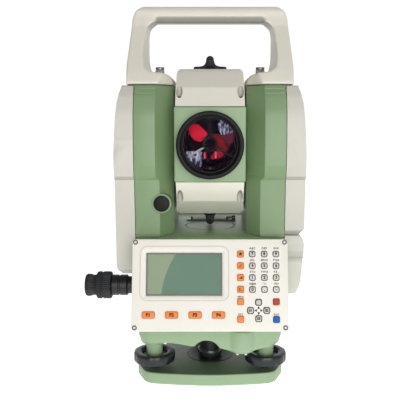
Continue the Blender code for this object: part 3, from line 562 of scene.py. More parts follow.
def build_base():
    base = soft(prism(rounded(BASE_OUTLINE, BASE_RADII, 8), 0, 12), 1.6, 4, 40)
    base = cut(base, cylinder(24, -2, 14, FINE))
    piece("base_plate_shell", base, BODY, BASE_GREEN, "tribrach", "base_plate")
    flange = lathe([(23.2, 12.3), (23.7, 11.8), (23.7, 1), (7.94, 1), (7.94, 30), (11.2, 30), (11.2, 12),
                    (14, 12), (15, 12.1)], FINE)
    piece("tripod_bush_flange", flange, BODY, BLACK, "tribrach", "tripod_bush")
    collar = lathe([(11.3, 20.3), (11.9, 19.6), (12.5, 18.2), (12.8, 16.2), (12.6, 14.2), (11.9, 12.6),
                    (11.3, 12.4)], FINE)
    piece("tripod_bush_collar", collar, BODY, BUSH_GLOSS, "tribrach")


def build_tribrach_body():
    outline = rounded(TRIBRACH_OUTLINE, 9)
    pod = [(0, 55.5), (14.5, 55.5), (14.5, 37), (13.4, 33.6), (10.6, 31.7), (0, 31.7)]
    arm = [(0, 55), (14, 55), (14, 41), (13, 38.4), (10.5, 37), (0, 37)]
    body = union(
        prism(outline, 46, 56),
        common(prism(APRON, -60, -36, "front"), prism(outline, 30, 60)),
        cylinder(46, 50, 59.5, FINE),
        lathe(pod, centre=LEVEL),
        *[lathe(arm, centre=spot) for spot in SCREW_PLACES],
    )
    arch = cylinder(14, -30, 30, MEDIUM, "front", (-3.5, -45, 30.6))
    body = moulded(cut(body, arch), 1.15, 4)
    body = union(body, *[cylinder(8, 25.4, 45, centre=spot) for spot in SCREW_PLACES])
    body = cut(body, cylinder(11.5, 46, 62, centre=LEVEL), cylinder(8.4, 46, 62))
    piece("tribrach_casting", body, BODY, TRIBRACH_GREEN, "tribrach", "tribrach_body", smooth=40)


def build_footscrews():
    for number, spot in enumerate(SCREW_PLACES, start=1):
        knob = lathe(FOOTSCREW, 180, centre=spot, flutes=(7, 11, 12, 0.35))
        name = f"footscrew_{number}"
        piece(name + "_knob", knob, BODY, KNOB_BLACK, name, name, smooth=32)


def build_circular_level():
    cell = lathe([(0, 52), (9.1, 52), (9.1, 57.1), (9.5, 57.5), (10.8, 57.5), (11.2, 57.1), (11.2, 46.3),
                  (0, 46.3)], FINE, centre=LEVEL)
    piece("circular_level_cell", cell, BODY, STEEL, "tribrach", "circular_level")
    vial = lathe(dome_profile(8.9, 55.4, 57.0, 52.2), FINE, centre=LEVEL)
    piece("circular_level_vial", vial, BODY, VIAL, "tribrach")
    target = lathe([(3.9, 57.2), (3.9, 56.2), (3.5, 56.2), (3.5, 57.2)], centre=LEVEL)
    piece("circular_level_target", target, BODY, INK, "tribrach")
    head = [(0, 32.2), (1.9, 32.2), (1.9, 30.2), (1.4, 29.7), (0, 29.7)]
    screws = [lathe(head, SMALL, centre=(LEVEL_X + across, LEVEL_Y - 7, 0)) for across in (-4.2, 3.8)]
    piece("level_adjusting_screws", gathered(*screws), BODY, STEEL, "tribrach")


# ---- alidade

STANDARD_EDGE = [(60, 149.2), (60, 150.3), (59, 151.6), (59, 201.5), (62.4, 205), (63.6, 215), (63.6, 240),
                 (61, 262), (56, 277), (50, 287)]
STANDARD_RADII = [0, 0.6, 2.4, 1.4, 3, 20, 60, 60, 20, 1.2]
FACET_BREAK = [(28, 140), (62, 140), (62, 202.6), (49.5, 204.2), (34, 213), (28, 214)]
COVER_LOW_LEFT = [(54.5, 113), (58.5, 118)]
COVER_LOW_RIGHT = [(54.5, 150.2), (58.5, 155.2)]
COVER_EDGE = [(58.5, 201.5), (61.9, 205), (63, 215), (63, 240), (60.5, 262), (55.5, 277), (49.5, 286.7)]
COVER_RADII = [1.4, 3, 20, 60, 60, 20, 3]
COVER_FRONT = [(87, 225), (85, 258), (83.8, 271), (82, 279), (78.5, 290.8), (66, 290.8)]
BATTERY_FRONT = [(69.1, 92), (81.5, 92), (85.3, 102), (86.6, 114), (87, 125), (87, 143), (84.5, 149.7),
                 (69.1, 149.7)]
BATTERY_EDGE = [(49, 60), (50.5, 125), (54, 128), (57.5, 135), (59, 142), (56, 170)]
DRIVE_X, DRIVE_Z = -44.4, 180
DRIVE_PLACE = (DRIVE_X, 0, DRIVE_Z)
PLATE_LEVEL_Y = 32


def standard_section(side, reach, height):
    """A standard's plan at a height: sloped facets run from its front and rear faces to its inner wall."""
    upper = min(1, max(0, (height - 201.5) / 3.5))
    outer, drop = 46 + 3.5 * upper, 19 + 3.6 * upper
    half = [(34, drop - reach), (outer, -reach), (68.5, -reach)]
    return [(side * across, along, height) for across, along in half + sided(half, 1, -1)[::-1]]


def build_standard(name, side):
    radii = STANDARD_RADII + STANDARD_RADII[::-1]
    edge = rounded(mirrored(STANDARD_EDGE), radii)
    shape = lofted([standard_section(side, reach, height) for reach, height in edge if reach > 0])
    for facing in (-1, 1):
        wedge = sided([(51.1, 67), (31.1, 35.2), (31.1, 67)], side, facing)
        below = prism(sided(FACET_BREAK, side), *sorted((facing * 20, facing * 90)), "front")
        shape = cut(shape, common(prism(wedge, 140, 220), below))
    shape = soft(shape, 1.1, 3, 25)
    inner, outer = sorted((side * 40, side * 71))
    bearing = cylinder(12.3, -10, 10, MEDIUM, "right", (side * 34, 0, 234))
    shape = cut(shape, block((inner, -38, 160), (outer, 38, 273)), bearing)
    groove_depth = 0.7
    for low, high in ((279.2, 280.0), (283.4, 284.2)):
        around = rectangle(60, 140, (side * 51, 0))
        kept = rectangle(2 * (17.2 - groove_depth), 2 * (edge_at(low) - groove_depth), (side * 51.2, 0))
        shape = cut(shape, cut(prism(around, low, high), prism(kept, low - 1, high + 1)))
    if side < 0:
        rear = cylinder(8.2, 44, 70, MEDIUM, "back", DRIVE_PLACE)
        front = lathe([(0, 59.9), (8.7, 59.9), (9.2, 59.4), (9.2, 44), (0, 44)], FINE, "front", DRIVE_PLACE)
        seat = cylinder(7.6, 59.05, 62, FINE, "front", DRIVE_PLACE)
        shape = cut(union(shape, rear, front), seat)
    piece(name + "_casting", shape, BODY, GREEN, "alidade", name)


def edge_at(height):
    """How far the standard reaches from the axis at a height."""
    for (near_y, low), (far_y, high) in zip(STANDARD_EDGE, STANDARD_EDGE[1:]):
        if low <= height <= high:
            return near_y + (far_y - near_y) * (height - low) / (high - low)
    return STANDARD_EDGE[-1][0]


def build_cover(name, side, low_edge):
    bottom = low_edge[0][1]
    radii = [0, 3] + COVER_RADII
    outline = rounded(mirrored(low_edge + COVER_EDGE), radii + radii[::-1])
    front = [(66, bottom - 1), (81, bottom - 1), (87, bottom + 6)] + COVER_FRONT
    front_radii = [0, 2, 4, 60, 30, 20, 12, 3, 0]
    shape = common(prism(outline, *sorted((side * 69.1, side * 101)), "side"),
                   prism(sided(rounded(front, front_radii), side), -70, 70, "front"))
    shape = soft(soft(shape, 6.4, 1, 50), 1.0, 3, 22)
    piece(name + "_moulding", shape, BODY, PAINTED_SHADE_COVER_CREAM, "alidade", name)


def build_battery():
    battery = prism(rounded(mirrored(BATTERY_EDGE), [0, 12, 4, 6, 4, 0, 0, 4, 6, 4, 12, 0]), 55, 87, "side")
    front = prism(rounded(BATTERY_FRONT, [0, 3, 8, 8, 8, 5, 4, 0]), -70, 70, "front")
    battery = soft(common(soft(battery, 6.4, 1, 70), front), 1.2, 3, 22)
    piece("battery_case", battery, BODY, PAINTED_SHADE_COVER_CREAM, "battery", "battery")


def build_plate_level():
    def add(name, shape, material, *replaces, slot=None):
        piece("plate_level_" + name, shape, BODY, material, "alidade", *replaces, slot=slot)

    y = PLATE_LEVEL_Y
    add("foot", soft(block((-25, y - 4.6, 149.3), (27, y + 4.6, 150.2)), 0.4), PAINTED_SHADE_FLOOR_GREEN, "plate_level")
    brackets = [soft(block((left, y - 2.6, 149.9), (right, y + 2.6, 152.9)), 0.4)
                for left, right in ((-20.5, -18.4), (17.2, 19.4))]
    add("bracket", gathered(*brackets), BLACK)
    tube = [(0, 37.6), (1.2, 37.6), (1.6, 37.2), (1.6, 0.4), (1.2, 0), (0, 0)]
    add("tube", lathe(tube, MEDIUM, "right", (-18, y - 0.4, 151.3)), WHITE_MARK, slot="clear_glass")
    screw = [(0, 8.4), (2, 8.4), (2.4, 8), (2.4, 5.2), (1.3, 4.9), (1.3, 0), (0, 0)]
    add("screw", lathe(screw, MEDIUM, "right", (18.4, y - 1.6, 151.9)), GLOSS_BLACK)


def build_alidade():
    base = union(soft(block((-68.5, -60, 84), (68.5, 60, 149)), 2.2, 4),
                 lathe([(0, 92), (58, 92), (58, 62.4), (57.3, 60.9), (55.8, 60.2), (0, 60.2)], FINE))
    base = cut(base, block((-60, -52, 80), (60, 52, 141)), cylinder(50, 58, 86, FINE))
    base = union(base, cylinder(17, 71, 144))
    base = cut(base, cylinder(8.4, 58, 102),
               lathe([(25.6, 151), (25.6, 148.1), (24.2, 148.1), (24.2, 151)], FINE))
    piece("alidade_casting", base, BODY, GREEN, "alidade", "alidade_base")

    build_standard("left_standard", -1)
    build_standard("right_standard", 1)
    build_cover("left_cover", -1, COVER_LOW_LEFT)
    build_cover("right_cover", 1, COVER_LOW_RIGHT)
    build_battery()
    cap = lathe([(0, 2.3), (6.3, 2.3), (7, 2.0), (7.3, 1.4), (7.3, 0.3), (0, 0.3)], FINE, "front",
                (DRIVE_X, -59, DRIVE_Z))
    piece("spring_cap_turned", cap, BODY, LENS_BLACK, "alidade", "tangent_spring_cap")
    build_plate_level()


# ---- handle

HANDLE_OUTER = [(78, 287.3), (77.6, 291), (73.6, 350), (71, 357.5), (64.5, 362)]
HANDLE_INNER = [(53, 347.2), (58.6, 342.5), (60.5, 335), (61.8, 314), (60.5, 304), (54.5, 299.3),
                (44, 298.5), (37.5, 296.5), (34.6, 292), (34.3, 287.3)]
HANDLE_EDGE = [(49.5, 284), (49, 290), (43.5, 300), (15.5, 343), (12.6, 352), (11.6, 358), (7.5, 363)]
HANDLE_OUTER_RADII = [0, 2, 12, 7, 9]
HANDLE_INNER_RADII = [0, 2, 3, 5, 4, 4, 14, 10, 4, 6]
HANDLE_EDGE_RADII = [0, 3, 8, 12, 8, 4, 3]
HANDLE_SCREW = [(0, 305.5), (2.4, 305.5), (2.8, 306), (3.8, 306), (4.3, 305.5), (4.3, 304.1), (3.8, 303.7),
                (3.8, 303.2), (4.4, 302.8), (4.4, 299.6), (4.1, 299.2), (0, 299.2)]
HANDLE_SCREW_X = 49


def build_handle():
    outline = (sided(HANDLE_OUTER, -1) + HANDLE_OUTER[::-1] + HANDLE_INNER[::-1] + sided(HANDLE_INNER, -1))
    radii = (HANDLE_OUTER_RADII + HANDLE_OUTER_RADII[::-1] + HANDLE_INNER_RADII + HANDLE_INNER_RADII[::-1])
    edge = rounded(mirrored(HANDLE_EDGE), HANDLE_EDGE_RADII + HANDLE_EDGE_RADII[::-1])
    shape = common(prism(rounded(outline, radii), -55, 55, "front"), prism(edge, -90, 90, "side"))
    corners = [(side, facing) for side in (-1, 1) for facing in (-1, 1)]
    for facing in (-1, 1):
        shape = cut(shape, prism(sided([(14, 345), (14, 354), (5, 345)], facing), -52, 52, "side"))
        for side in (-1, 1):
            taper = [(78.5, 10), (76, 50), (76, 60), (90, 60), (90, 10)]
            shape = cut(shape, prism(sided(taper, side, facing), 280, 306))
    for side, facing in corners:
        wedge = [(52, 56), (30.6, 24.7), (26, 24.7), (26, 56)]
        shape = cut(shape, prism(sided(wedge, side, facing), 280, 330))
    shape = moulded(soft(shape, 2.2, 3, 40), 1.15, 4)
    shape = cut(shape, *[cylinder(5, 298.6, 330, centre=(side * HANDLE_SCREW_X, 0, 0)) for side in (-1, 1)])
    piece("handle_moulding", shape, BODY, CREAM, "handle", "carrying_handle", smooth=50)
    for side, name in ((-1, "handle_screw_left"), (1, "handle_screw_right")):
        screw = lathe(HANDLE_SCREW, 160, centre=(side * HANDLE_SCREW_X, 0, 0), flutes=(8, 9, 28, 0.25))
        piece(name + "_turned", screw, BODY, SCREW_STEEL, name, name, smooth=25)


# ---- clamps and tangent drives

CLAMP_PROFILE = [(11.5, 14.8), (12.7, 14.4), (13.3, 13.4), (13.3, 10.4), (12.6, 9.8), (12.6, 8.6), (13.3, 8),
                 (13.3, 1.9), (12.7, 0.8), (11.6, 0.3), (4.1, 0.3), (4.1, 14.8)]
TANGENT_PROFILE = [(0, 25.6), (6.4, 25.7), (8.9, 26), (10.3, 25.4), (10.9, 24), (10.9, 21), (10.3, 19.6),
                   (9.8, 18), (10.2, 16), (10.5, 15.1), (3.8, 15.1), (3.8, 1.3), (0, 1.3)]
DRIVE_PARTS = (("clamp", "_ring", CLAMP_PROFILE, (1, 8, 40, 0.55)),
               ("tangent", "_knob", TANGENT_PROFILE, (2, 9, 36, 0.5)))


def build_drive(prefix, turn, place, start):
    """A knurled clamp ring and tangent knob, outwards from the end of their neck."""
    for kind, ending, profile, flutes in DRIVE_PARTS:
        outward = [(radius, start + height) for radius, height in profile]
        name = f"{prefix}_{kind}"
        shape = lathe(outward, KNURLED, turn, place, flutes)
        piece(name + "_turned", shape, BODY, RUBBER, name + ending, name + ending, smooth=30)


def build_drives():
    side_place = (-68.5, -30, 95)
    neck = lathe([(0, 27.3), (9.6, 27.3), (10.2, 26.7), (10.2, 21.2), (9.6, 20.6), (9.6, 19.6), (10.2, 19),
                  (10.2, 12.8), (9.6, 12), (8.5, 11.5), (8.5, 0.3), (0, 0.3)], FINE, "left", side_place)
    piece("horizontal_neck_turned", neck, BODY, BLACK, "alidade", "horizontal_drive_neck")
    build_drive("horizontal", "left", side_place, 27.3)
    build_drive("vertical", "back", (DRIVE_X, 59, DRIVE_Z), 11)


# ---- telescope

TOP_PROFILE = [(-63.5, 34.0), (-50, 50.8), (-27, 66.5), (-22, 69), (22, 69), (27, 66.5), (42, 50.8),
               (52.5, 34.0)]
BOTTOM_PROFILE = [(-63.5, -34.0), (-49.5, -53.0), (-27, -68.3), (-22, -69), (22, -69), (27, -66.5),
                  (42, -50.8), (52.5, -34.0)]
FRONT = -65
BACK = 54
WELL_PLACES = (-27.6, 27.6)
WELL_WALL = 0.3


def on_telescope(name, shape, material, *replaces, body="telescope", smooth=35):
    piece(name, shape, TELESCOPE, material, body, *replaces, smooth=smooth)


def facing_front(profile, steps=FINE):
    return lathe(profile, steps, "front", (0, FRONT, 0))


def pocket(x, sign, wall=0.0):
    """An upright screw well that breaks out through the sloped front of a telescope cover."""
    shape = cylinder(1, *sorted((sign * (41.2 - wall), sign * 75)))
    bmesh.ops.scale(shape, vec=(2.7 + wall, 4.6 + wall, 1), verts=shape.verts)
    bmesh.ops.translate(shape, vec=(x, -53, 0), verts=shape.verts)
    return shape


def telescope_cover(sign):
    outline = TOP_PROFILE if sign > 0 else BOTTOM_PROFILE
    front = sided([(-31, 30), (31, 30), (31, 69.5), (-31, 69.5)], 1, sign)
    cover = common(prism(rounded(outline, [0, 3, 5, 6, 6, 6, 4, 0]), -34, 34, "side"),
                   prism(rounded(front, [0, 0, 5.5, 5.5]), -70, 60, "front"))
    return soft(cover, 1.3, 4, 35)


def build_telescope_cover(name, sign):
    wells = [pocket(x, sign, WELL_WALL) for x in WELL_PLACES]
    on_telescope(name + "_moulding", cut(telescope_cover(sign), *wells), PAINTED_LIGHT_TELESCOPE_CREAM, name + "_cover")
    # Painted shade: thin linings of the darker cream inside the screw wells.
    painted_shade_linings = [cut(common(telescope_cover(sign), pocket(x, sign, WELL_WALL)), pocket(x, sign))
               for x in WELL_PLACES]
    on_telescope(name + "_screw_well_painted_shade", gathered(*painted_shade_linings), PAINTED_WELL_SHADE)
    heads = [cylinder(2.2, *sorted((sign * 41.2, sign * 42.6)), SMALL, centre=(x, -55.4, 0))
             for x in WELL_PLACES]
    on_telescope(name + "_cover_screws", gathered(*heads), BLACK)


def build_telescope():
    body = soft(block((-32.2, FRONT, -33.7), (32.2, BACK, 33.7)), 1.4, 4)
    body = union(body, cylinder(12, -58, 58, MEDIUM, "right"), cylinder(8, 49, 75, MEDIUM, "back"))
    bore = facing_front([(0, 2), (26, 2), (26, -24), (22, -24), (22, -106), (0, -106)])
    on_telescope("telescope_casting", cut(body, bore), PAINTED_LIGHT_TELESCOPE_GREEN, "telescope_body")
    build_telescope_cover("telescope_top", 1)
    build_telescope_cover("telescope_bottom", -1)
    build_sight("sight_top", TOP_SIGHT_FLARE, 1)
    build_sight("sight_bottom", BOTTOM_SIGHT_FLARE, -1)
    build_objective()
    build_objective_inside()
    build_eyepiece()


def build_objective():
    barrel = [(28.5, 12.7), (29.5, 12.2), (30, 11.2), (30, 0.3), (25.7, 0.3), (25.7, -20), (23.8, -20),
              (23.8, 3.6), (24.9, 3.6), (24.9, 5.4), (25.4, 5.8), (25.4, 8.6), (25.9, 9), (25.9, 11.4),
              (26.6, 12.5), (27.2, 12.7)]
    on_telescope("objective_barrel", facing_front(barrel), LENS_BLACK, "objective_ring")
    lens = [(0, 8.4), (6, 8.25), (12, 7.8), (18, 7.05), (24.4, 5.9), (24.4, 4), (0, 4)]
    on_telescope("objective_glass", facing_front(lens), LENS_GLASS, "objective_lens")


def build_eyepiece():
    place = (0, BACK, 0)
    ring = lathe([(24.6, 13.5), (25.6, 13.1), (26, 12.2), (26, 2), (25.6, 0.9), (24.6, 0.3), (8.3, 0.3),
                  (8.3, 13.5)], 288, "back", place, flutes=(1, 4, 48, 0.8))
    on_telescope("focus_ring_knurled", ring, RUBBER, "focus_ring", body="focus_ring", smooth=30)
    cup = lathe([(10.4, 27), (11.4, 26.8), (12.9, 25.2), (13, 24.4), (13, 17.4), (12.6, 16.2), (11.6, 14.4),
                 (11, 14), (8.3, 14), (8.3, 23), (5.5, 24.5), (5.5, 26.2), (6.2, 27)], KNURLED, "back",
                place, flutes=(3, 4, 30, 0.5))
    on_telescope("eyepiece_knurled", cup, RUBBER, "eyepiece_ring", body="eyepiece_ring", smooth=30)
    eye_lens = lathe([(0, 24.6), (3, 24.4), (5.3, 23.8), (5.3, 22.6), (0, 22.6)], MEDIUM, "back", place)
    on_telescope("eyepiece_glass", eye_lens, LENS_GLASS)


SPIDER_Y = FRONT + 13
PATCH_Y = FRONT + 19
# The coatings seen behind the glass, with painted reflections and painted highlights among them: name, outline,
# depths in front of and behind PATCH_Y, and look.
PATCHES = (
    ("dichroic_lobe", [(-20, 14), (-17, 18), (-11.6, 18), (-5, 12.6), (-1.8, 8.6), (-5, 5.6), (-8.5, 1.6),
                       (-14, 3), (-18.4, 8)], (-1, 1), EDM_RED),
    ("dichroic_fan", [(2, 8.6), (9, 8), (13, 3), (16.4, -4), (15, -8), (9.6, -4.6), (6.4, -3)], (-1, 1),
     EDM_DEEP_RED),
    ("dichroic_lower_fan", [(4.4, -6.8), (14.2, -7.6), (13, -11), (9.6, -13.6), (0.6, -14.6), (1.4, -11)],
     (-0.6, 0.4), EDM_CRIMSON),
    ("dichroic_foot_left", [(-6, -7.2), (-3.4, -7.4), (-3.2, -14.4), (-6.4, -14)], (0, 1), EDM_CRIMSON),
    # Painted highlights: pink stripes along the edges of the red coatings.
    ("painted_highlight_left", [(-5.4, -8), (-4.4, -8), (-4.2, -13.8), (-5.4, -13.8)], (-0.4, 0.4), EDM_PAINTED_HIGHLIGHT),
    ("painted_highlight_right", [(4.8, -7.6), (5.4, -7.6), (5.7, -13.2), (5.1, -13.2)], (-1.0, -0.4), EDM_PAINTED_HIGHLIGHT),
    ("dichroic_shade", [(9, 8.4), (22.2, 10.2), (22.2, 2.4), (19.9, 0), (16.7, -3.9), (14.3, 2.4)], (1, 2),
     EDM_SHADE),
    # Painted reflections: pale streaks for the room reflected in the coated glass.
    ("painted_reflection_upper", [(7.2, 18.4), (10.4, 22.4), (14.3, 21), (19.6, 16.4), (22.4, 12.2), (20.2, 9.6),
                      (15.9, 8.7), (10.4, 7.9), (8, 13.4)], (0.6, 1.6), EDM_PAINTED_REFLECTION),
    ("painted_reflection_lower", [(-22.6, -7.1), (-7.6, -7.1), (-7.4, -13.4), (-7.6, -20), (-10, -23), (-14, -21.4),
                      (-19.5, -15.6)], (1.2, 2), EDM_PAINTED_REFLECTION),
)


def spider_arm(angle, half_width, near, far):
    """An arm from the hub to the cell; zero is upwards and positive runs clockwise seen from the front."""
    arm = block((-half_width, SPIDER_Y - near, 6.4), (half_width, SPIDER_Y + far, 24))
    turn = Matrix.Rotation(math.radians(angle), 3, "Y")
    bmesh.ops.rotate(arm, cent=(0, 0, 0), matrix=turn, verts=arm.verts)
    return arm


def build_objective_inside():
    """The spider that carries the distance meter's prism, and what shows through the glass behind it."""
    hub = lathe([(6.3, 3), (7, 2.4), (7, -2.5), (5, -2.5), (5, 1.4), (5.6, 3)], MEDIUM, "front",
                (0, SPIDER_Y, 0))
    foot = soft(block((-2.2, SPIDER_Y - 2, -23.6), (2.2, SPIDER_Y + 3, -20.4)), 0.5)
    arms = [spider_arm(angle, 1.0, 1.2, 1.2) for angle in (0, 120)]
    on_telescope("spider", gathered(hub, *arms, foot), LENS_BLACK)
    on_telescope("spider_bright_arm", spider_arm(240, 0.8, 1.6, 0.8), DARK_STEEL)
    tube = [(0, -59.4), (21.2, -59.4), (21.2, -24.2), (21.8, -24.2), (21.8, -60), (0, -60)]
    on_telescope("inner_tube", facing_front(tube), TUBE_BLACK)
    for name, outline, (near, far), look in PATCHES:
        radius = 1.2 if len(outline) > 4 else 0.8
        patch = prism(rounded(outline, radius, 4), PATCH_Y + near, PATCH_Y + far, "front")
        on_telescope(name, soft(patch, 0.3, 2), look)
    rim = [(21.3, -20.4), (25.7, -20.4), (25.7, -23.7), (21.3, -23.7)]
    on_telescope("cell_ring", facing_front(rim), TUBE_BLACK)


LUG_RADIUS = 3.75
LUG_Z = 78.25
TOP_SIGHT_FLARE = [(16, 69.3), (16, 70.9), (15.4, 72.2), (9.5, 72.5), (6.6, 73.2), (5, 74.6), (4.2, 76.4),
                   (LUG_RADIUS, 78.4)]
BOTTOM_SIGHT_FLARE = [(8, 69.3), (8, 70.4), (6.6, 71.6), (5.2, 73.2), (4.4, 75.2), (LUG_RADIUS, 78.4)]


def build_sight(name, flare, sign):
    arc = [(LUG_RADIUS * math.cos(angle), LUG_Z + LUG_RADIUS * math.sin(angle))
           for angle in [math.pi * step / 16 for step in range(17)]]
    foot = sided(mirrored(flare), 1, sign)
    lug = sided([(-LUG_RADIUS, 72), (LUG_RADIUS, 72)] + arc, 1, sign)
    shape = union(soft(prism(foot, -6, 6, "front"), 0.5, 2, 40), soft(prism(lug, -12, 12, "front"), 0.5, 2, 40))
    shape = cut(shape, cylinder(0.95, -20, 20, SMALL, "front", (0, 0, sign * LUG_Z)))
    on_telescope(name + "_body", shape, LENS_BLACK, name)


# ---- operating panels

WINDOW_CENTRE = (-22.9, 9.5)
WINDOW = (67.4, 37.8)
EMBOSS_CENTRE = (-22.7, 10.3)
KEY = 5.7
NUMBER_KEY = 4.5
ARROW_KEY = 4.8
SYMBOL_X = 27.0
ROWS = (27.3, 16.9, 6.5, -3.9)
COLUMNS = (37.4, 48.0, 58.4)
NUMBERS = [(across, along) for along in ROWS for across in COLUMNS]
DIGITS = "7894561230.-"
LETTERS = ("ABC", "DEF", "GHI", "JKL", "MNO", "PQR", "STU", "VWX", "YZ_", "#@&", "*+-", "/%=")
ARROW_X, ARROW_Y = 42.7, -22.2
ARROWS = {"up_key": (ARROW_X, -15.1), "down_key": (ARROW_X, -29.3), "left_key": (35.6, ARROW_Y),
          "right_key": (49.8, ARROW_Y)}
CORNERS = [(-66.2, 37.7, 0), (66.2, 37.7, 0), (-66.2, -37.2, 0), (66.2, -37.2, 0)]
FACE_INK = (-0.15, 0.05)
KEY_INK = (0.95, 1.16)


def tapered(outline, low, high, growth):
    """A prism whose upper outline is pushed outwards by growth on every side of its centre."""
    centre_x = sum(point[0] for point in outline) / len(outline)
    centre_y = sum(point[1] for point in outline) / len(outline)
    shape = prism(outline, low, high)
    for vertex in shape.verts:
        if vertex.co.z > (low + high) / 2:
            vertex.co.x += math.copysign(growth, vertex.co.x - centre_x)
            vertex.co.y += math.copysign(growth, vertex.co.y - centre_y)
    return shape


def key_shape(centre, width, height, bottom=-2.8):
    outline = rounded(rectangle(width, height, centre), 1.5, 5)
    return soft(prism(outline, bottom, 1.1), 0.45, 3, 50)


def number_cap(centre):
    outline = rounded(rectangle(NUMBER_KEY - 0.2, NUMBER_KEY - 0.2, centre), 1.2, 5)
    return soft(prism(outline, -3.5, 1.1), 0.45, 3, 50)


def hole_shape(centre, width, height, radius):
    return prism(rounded(rectangle(width, height, centre), radius, 5), -5, 5)


def rim_shape(centre, width):
    """The dark line round a key: a thin ring standing just proud of the faceplate."""
    outer = prism(rounded(rectangle(width + 1.3, width + 1.3, centre), 1.9, 5), -0.1, 0.12)
    inner = prism(rounded(rectangle(width - 0.05, width - 0.05, centre), 1.3, 5), -1, 1)
    return cut(outer, inner)


def frame_line(outer, inner, outer_depths, inner_depths):
    """A line round the display; each outline is a width, a height and a corner radius."""
    shapes = []
    for (width, height, radius), depths in ((outer, outer_depths), (inner, inner_depths)):
        shapes.append(prism(rounded(rectangle(width, height, EMBOSS_CENTRE), radius, 8), *depths))
    return cut(*shapes)


def triangle(centre, direction, size):
    points = [(size, 0), (-size * 0.6, size * 0.8), (-size * 0.6, -size * 0.8)]
    turn = Matrix.Rotation(math.radians(direction), 2)
    return [tuple(Vector(centre) + turn @ Vector(point)) for point in points]


def star(centre, outer, inner, count):
    points = []
    for step in range(2 * count):
        reach = outer if step % 2 == 0 else inner
        angle = math.pi * step / count + math.pi / 2
        points.append((centre[0] + reach * math.cos(angle), centre[1] + reach * math.sin(angle)))
    return points


def bar(start, end, width):
    start, end = Vector(start), Vector(end)
    across = (end - start).orthogonal().normalized() * width / 2
    return [tuple(start + across), tuple(start - across), tuple(end - across), tuple(end + across)]


def symbol_icons():
    """Star, angle, solid triangle and coordinate axes, for the four keys beside the numbers."""
    x = SYMBOL_X
    top, second, third, low = ROWS
    return [
        [star((x, top), 2.0, 0.95, 5)],
        [bar((x - 1.7, second - 1.1), (x + 1.6, second - 1.1), 0.45),
         bar((x - 1.6, second - 1.1), (x + 1.3, second + 1.3), 0.45)],
        [[(x - 1.7, third - 1.1), (x + 1.6, third - 1.1), (x + 1.6, third + 1.2)]],
        [bar((x - 1.4, low + 1.5), (x - 1.4, low - 1.4), 0.45),
         bar((x - 1.6, low - 1.2), (x + 1.6, low - 1.2), 0.45),
         bar((x - 1.4, low + 1.3), (x + 0.4, low + 0.1), 0.4)],
    ]


def panel_keys():
    """Each key beside the number keys: name, centre, width, height and look."""
    keys = [(f"function_key_{number}", (across, -26.2), 11.2, 5.8, ORANGE)
            for number, across in enumerate((-54.2, -33.7, -13.1, 7.5), 1)]
    keys += [(f"symbol_key_{number}", (SYMBOL_X, row), KEY, KEY, ORANGE) for number, row in enumerate(ROWS, 1)]
    keys += [("menu_key", (26.9, -14.5), KEY, KEY, ORANGE), ("escape_key", (26.9, -29.9), KEY, KEY, ORANGE),
             ("power_key", (58.3, -14.7), KEY, KEY, RED), ("enter_key", (58.3, -30.0), KEY, KEY, BLUE)]
    for name, centre in ARROWS.items():
        keys.append((name, centre, ARROW_KEY, ARROW_KEY, PALE_KEY if name == "up_key" else CLEAR_KEY))
    return keys


def key_legends(keys):
    """The printed legend and ink of each key that has one."""
    legends = {}
    for name, centre, _width, _height, _look in keys[:4]:
        legends[name] = (lettering("F" + name[-1], 4.1, centre, KEY_INK, 0.22), RED_INK)
    for number, icons in enumerate(symbol_icons(), start=1):
        marks = gathered(*[prism(icon, *KEY_INK) for icon in icons])
        legends[f"symbol_key_{number}"] = (marks, RED_INK if number > 1 else INK)
    for name, text in (("left_key", "S1"), ("right_key", "S2"), ("down_key", "S3")):
        legends[name] = (lettering(text, 3.0, ARROWS[name], KEY_INK, 0.20), INK)
    return legends


def build_keys(prefix, place, keys):
    """The keys' caps and legends; each front key moves on its own, and the rear ones with their keypad."""
    own = prefix == "front"
    keypad = prefix + "_keypad"
    legends = key_legends(keys)
    for name, centre, width, height, look in keys:
        title = name if own else "rear_" + name
        body = name if own else keypad
        inset = 0.3 if name in ARROWS else 0
        cap = key_shape(centre, width - inset, height - inset)
        piece(title + "_cap", cap, place, look, body, *([name] if own else []))
        if name in legends:
            legend, ink = legends[name]
            piece(title + "_legend", legend, place, ink, body, smooth=20)
    mat = prism(rectangle(30, 43, (47, 11)), -4.2, -3.1)
    caps = gathered(mat, *[number_cap(centre) for centre in NUMBERS])
    piece(keypad + "_caps", caps, place, CLEAR_KEY, keypad, keypad)
    digits = [lettering(digit, 3.7, centre, KEY_INK, 0.19) for digit, centre in zip(DIGITS, NUMBERS)]
    piece(keypad + "_digits", gathered(*digits), place, INK, keypad, smooth=20)


def panel_labels():
    labels = [lettering(text, 2.4, (across + 0.2, along + 5.0), FACE_INK, 0.08)
              for text, (across, along) in zip(LETTERS, NUMBERS)]
    for text, size, centre, weight in (("MENU", 2.0, (27.1, -10.3), 0.05), ("ESC", 2.2, (26.9, -25.7), 0.06),
                                       ("ENT", 2.2, (58.4, -25.8), 0.06)):
        labels.append(lettering(text, size, centre, FACE_INK, weight))
    for angle, across, along in ((90, 0, 2.4), (270, 0, -2.4), (180, -2.4, 0), (0, 2.4, 0)):
        labels.append(prism(triangle((ARROW_X + across, ARROW_Y + along), angle, 1.5), *FACE_INK))
    return labels


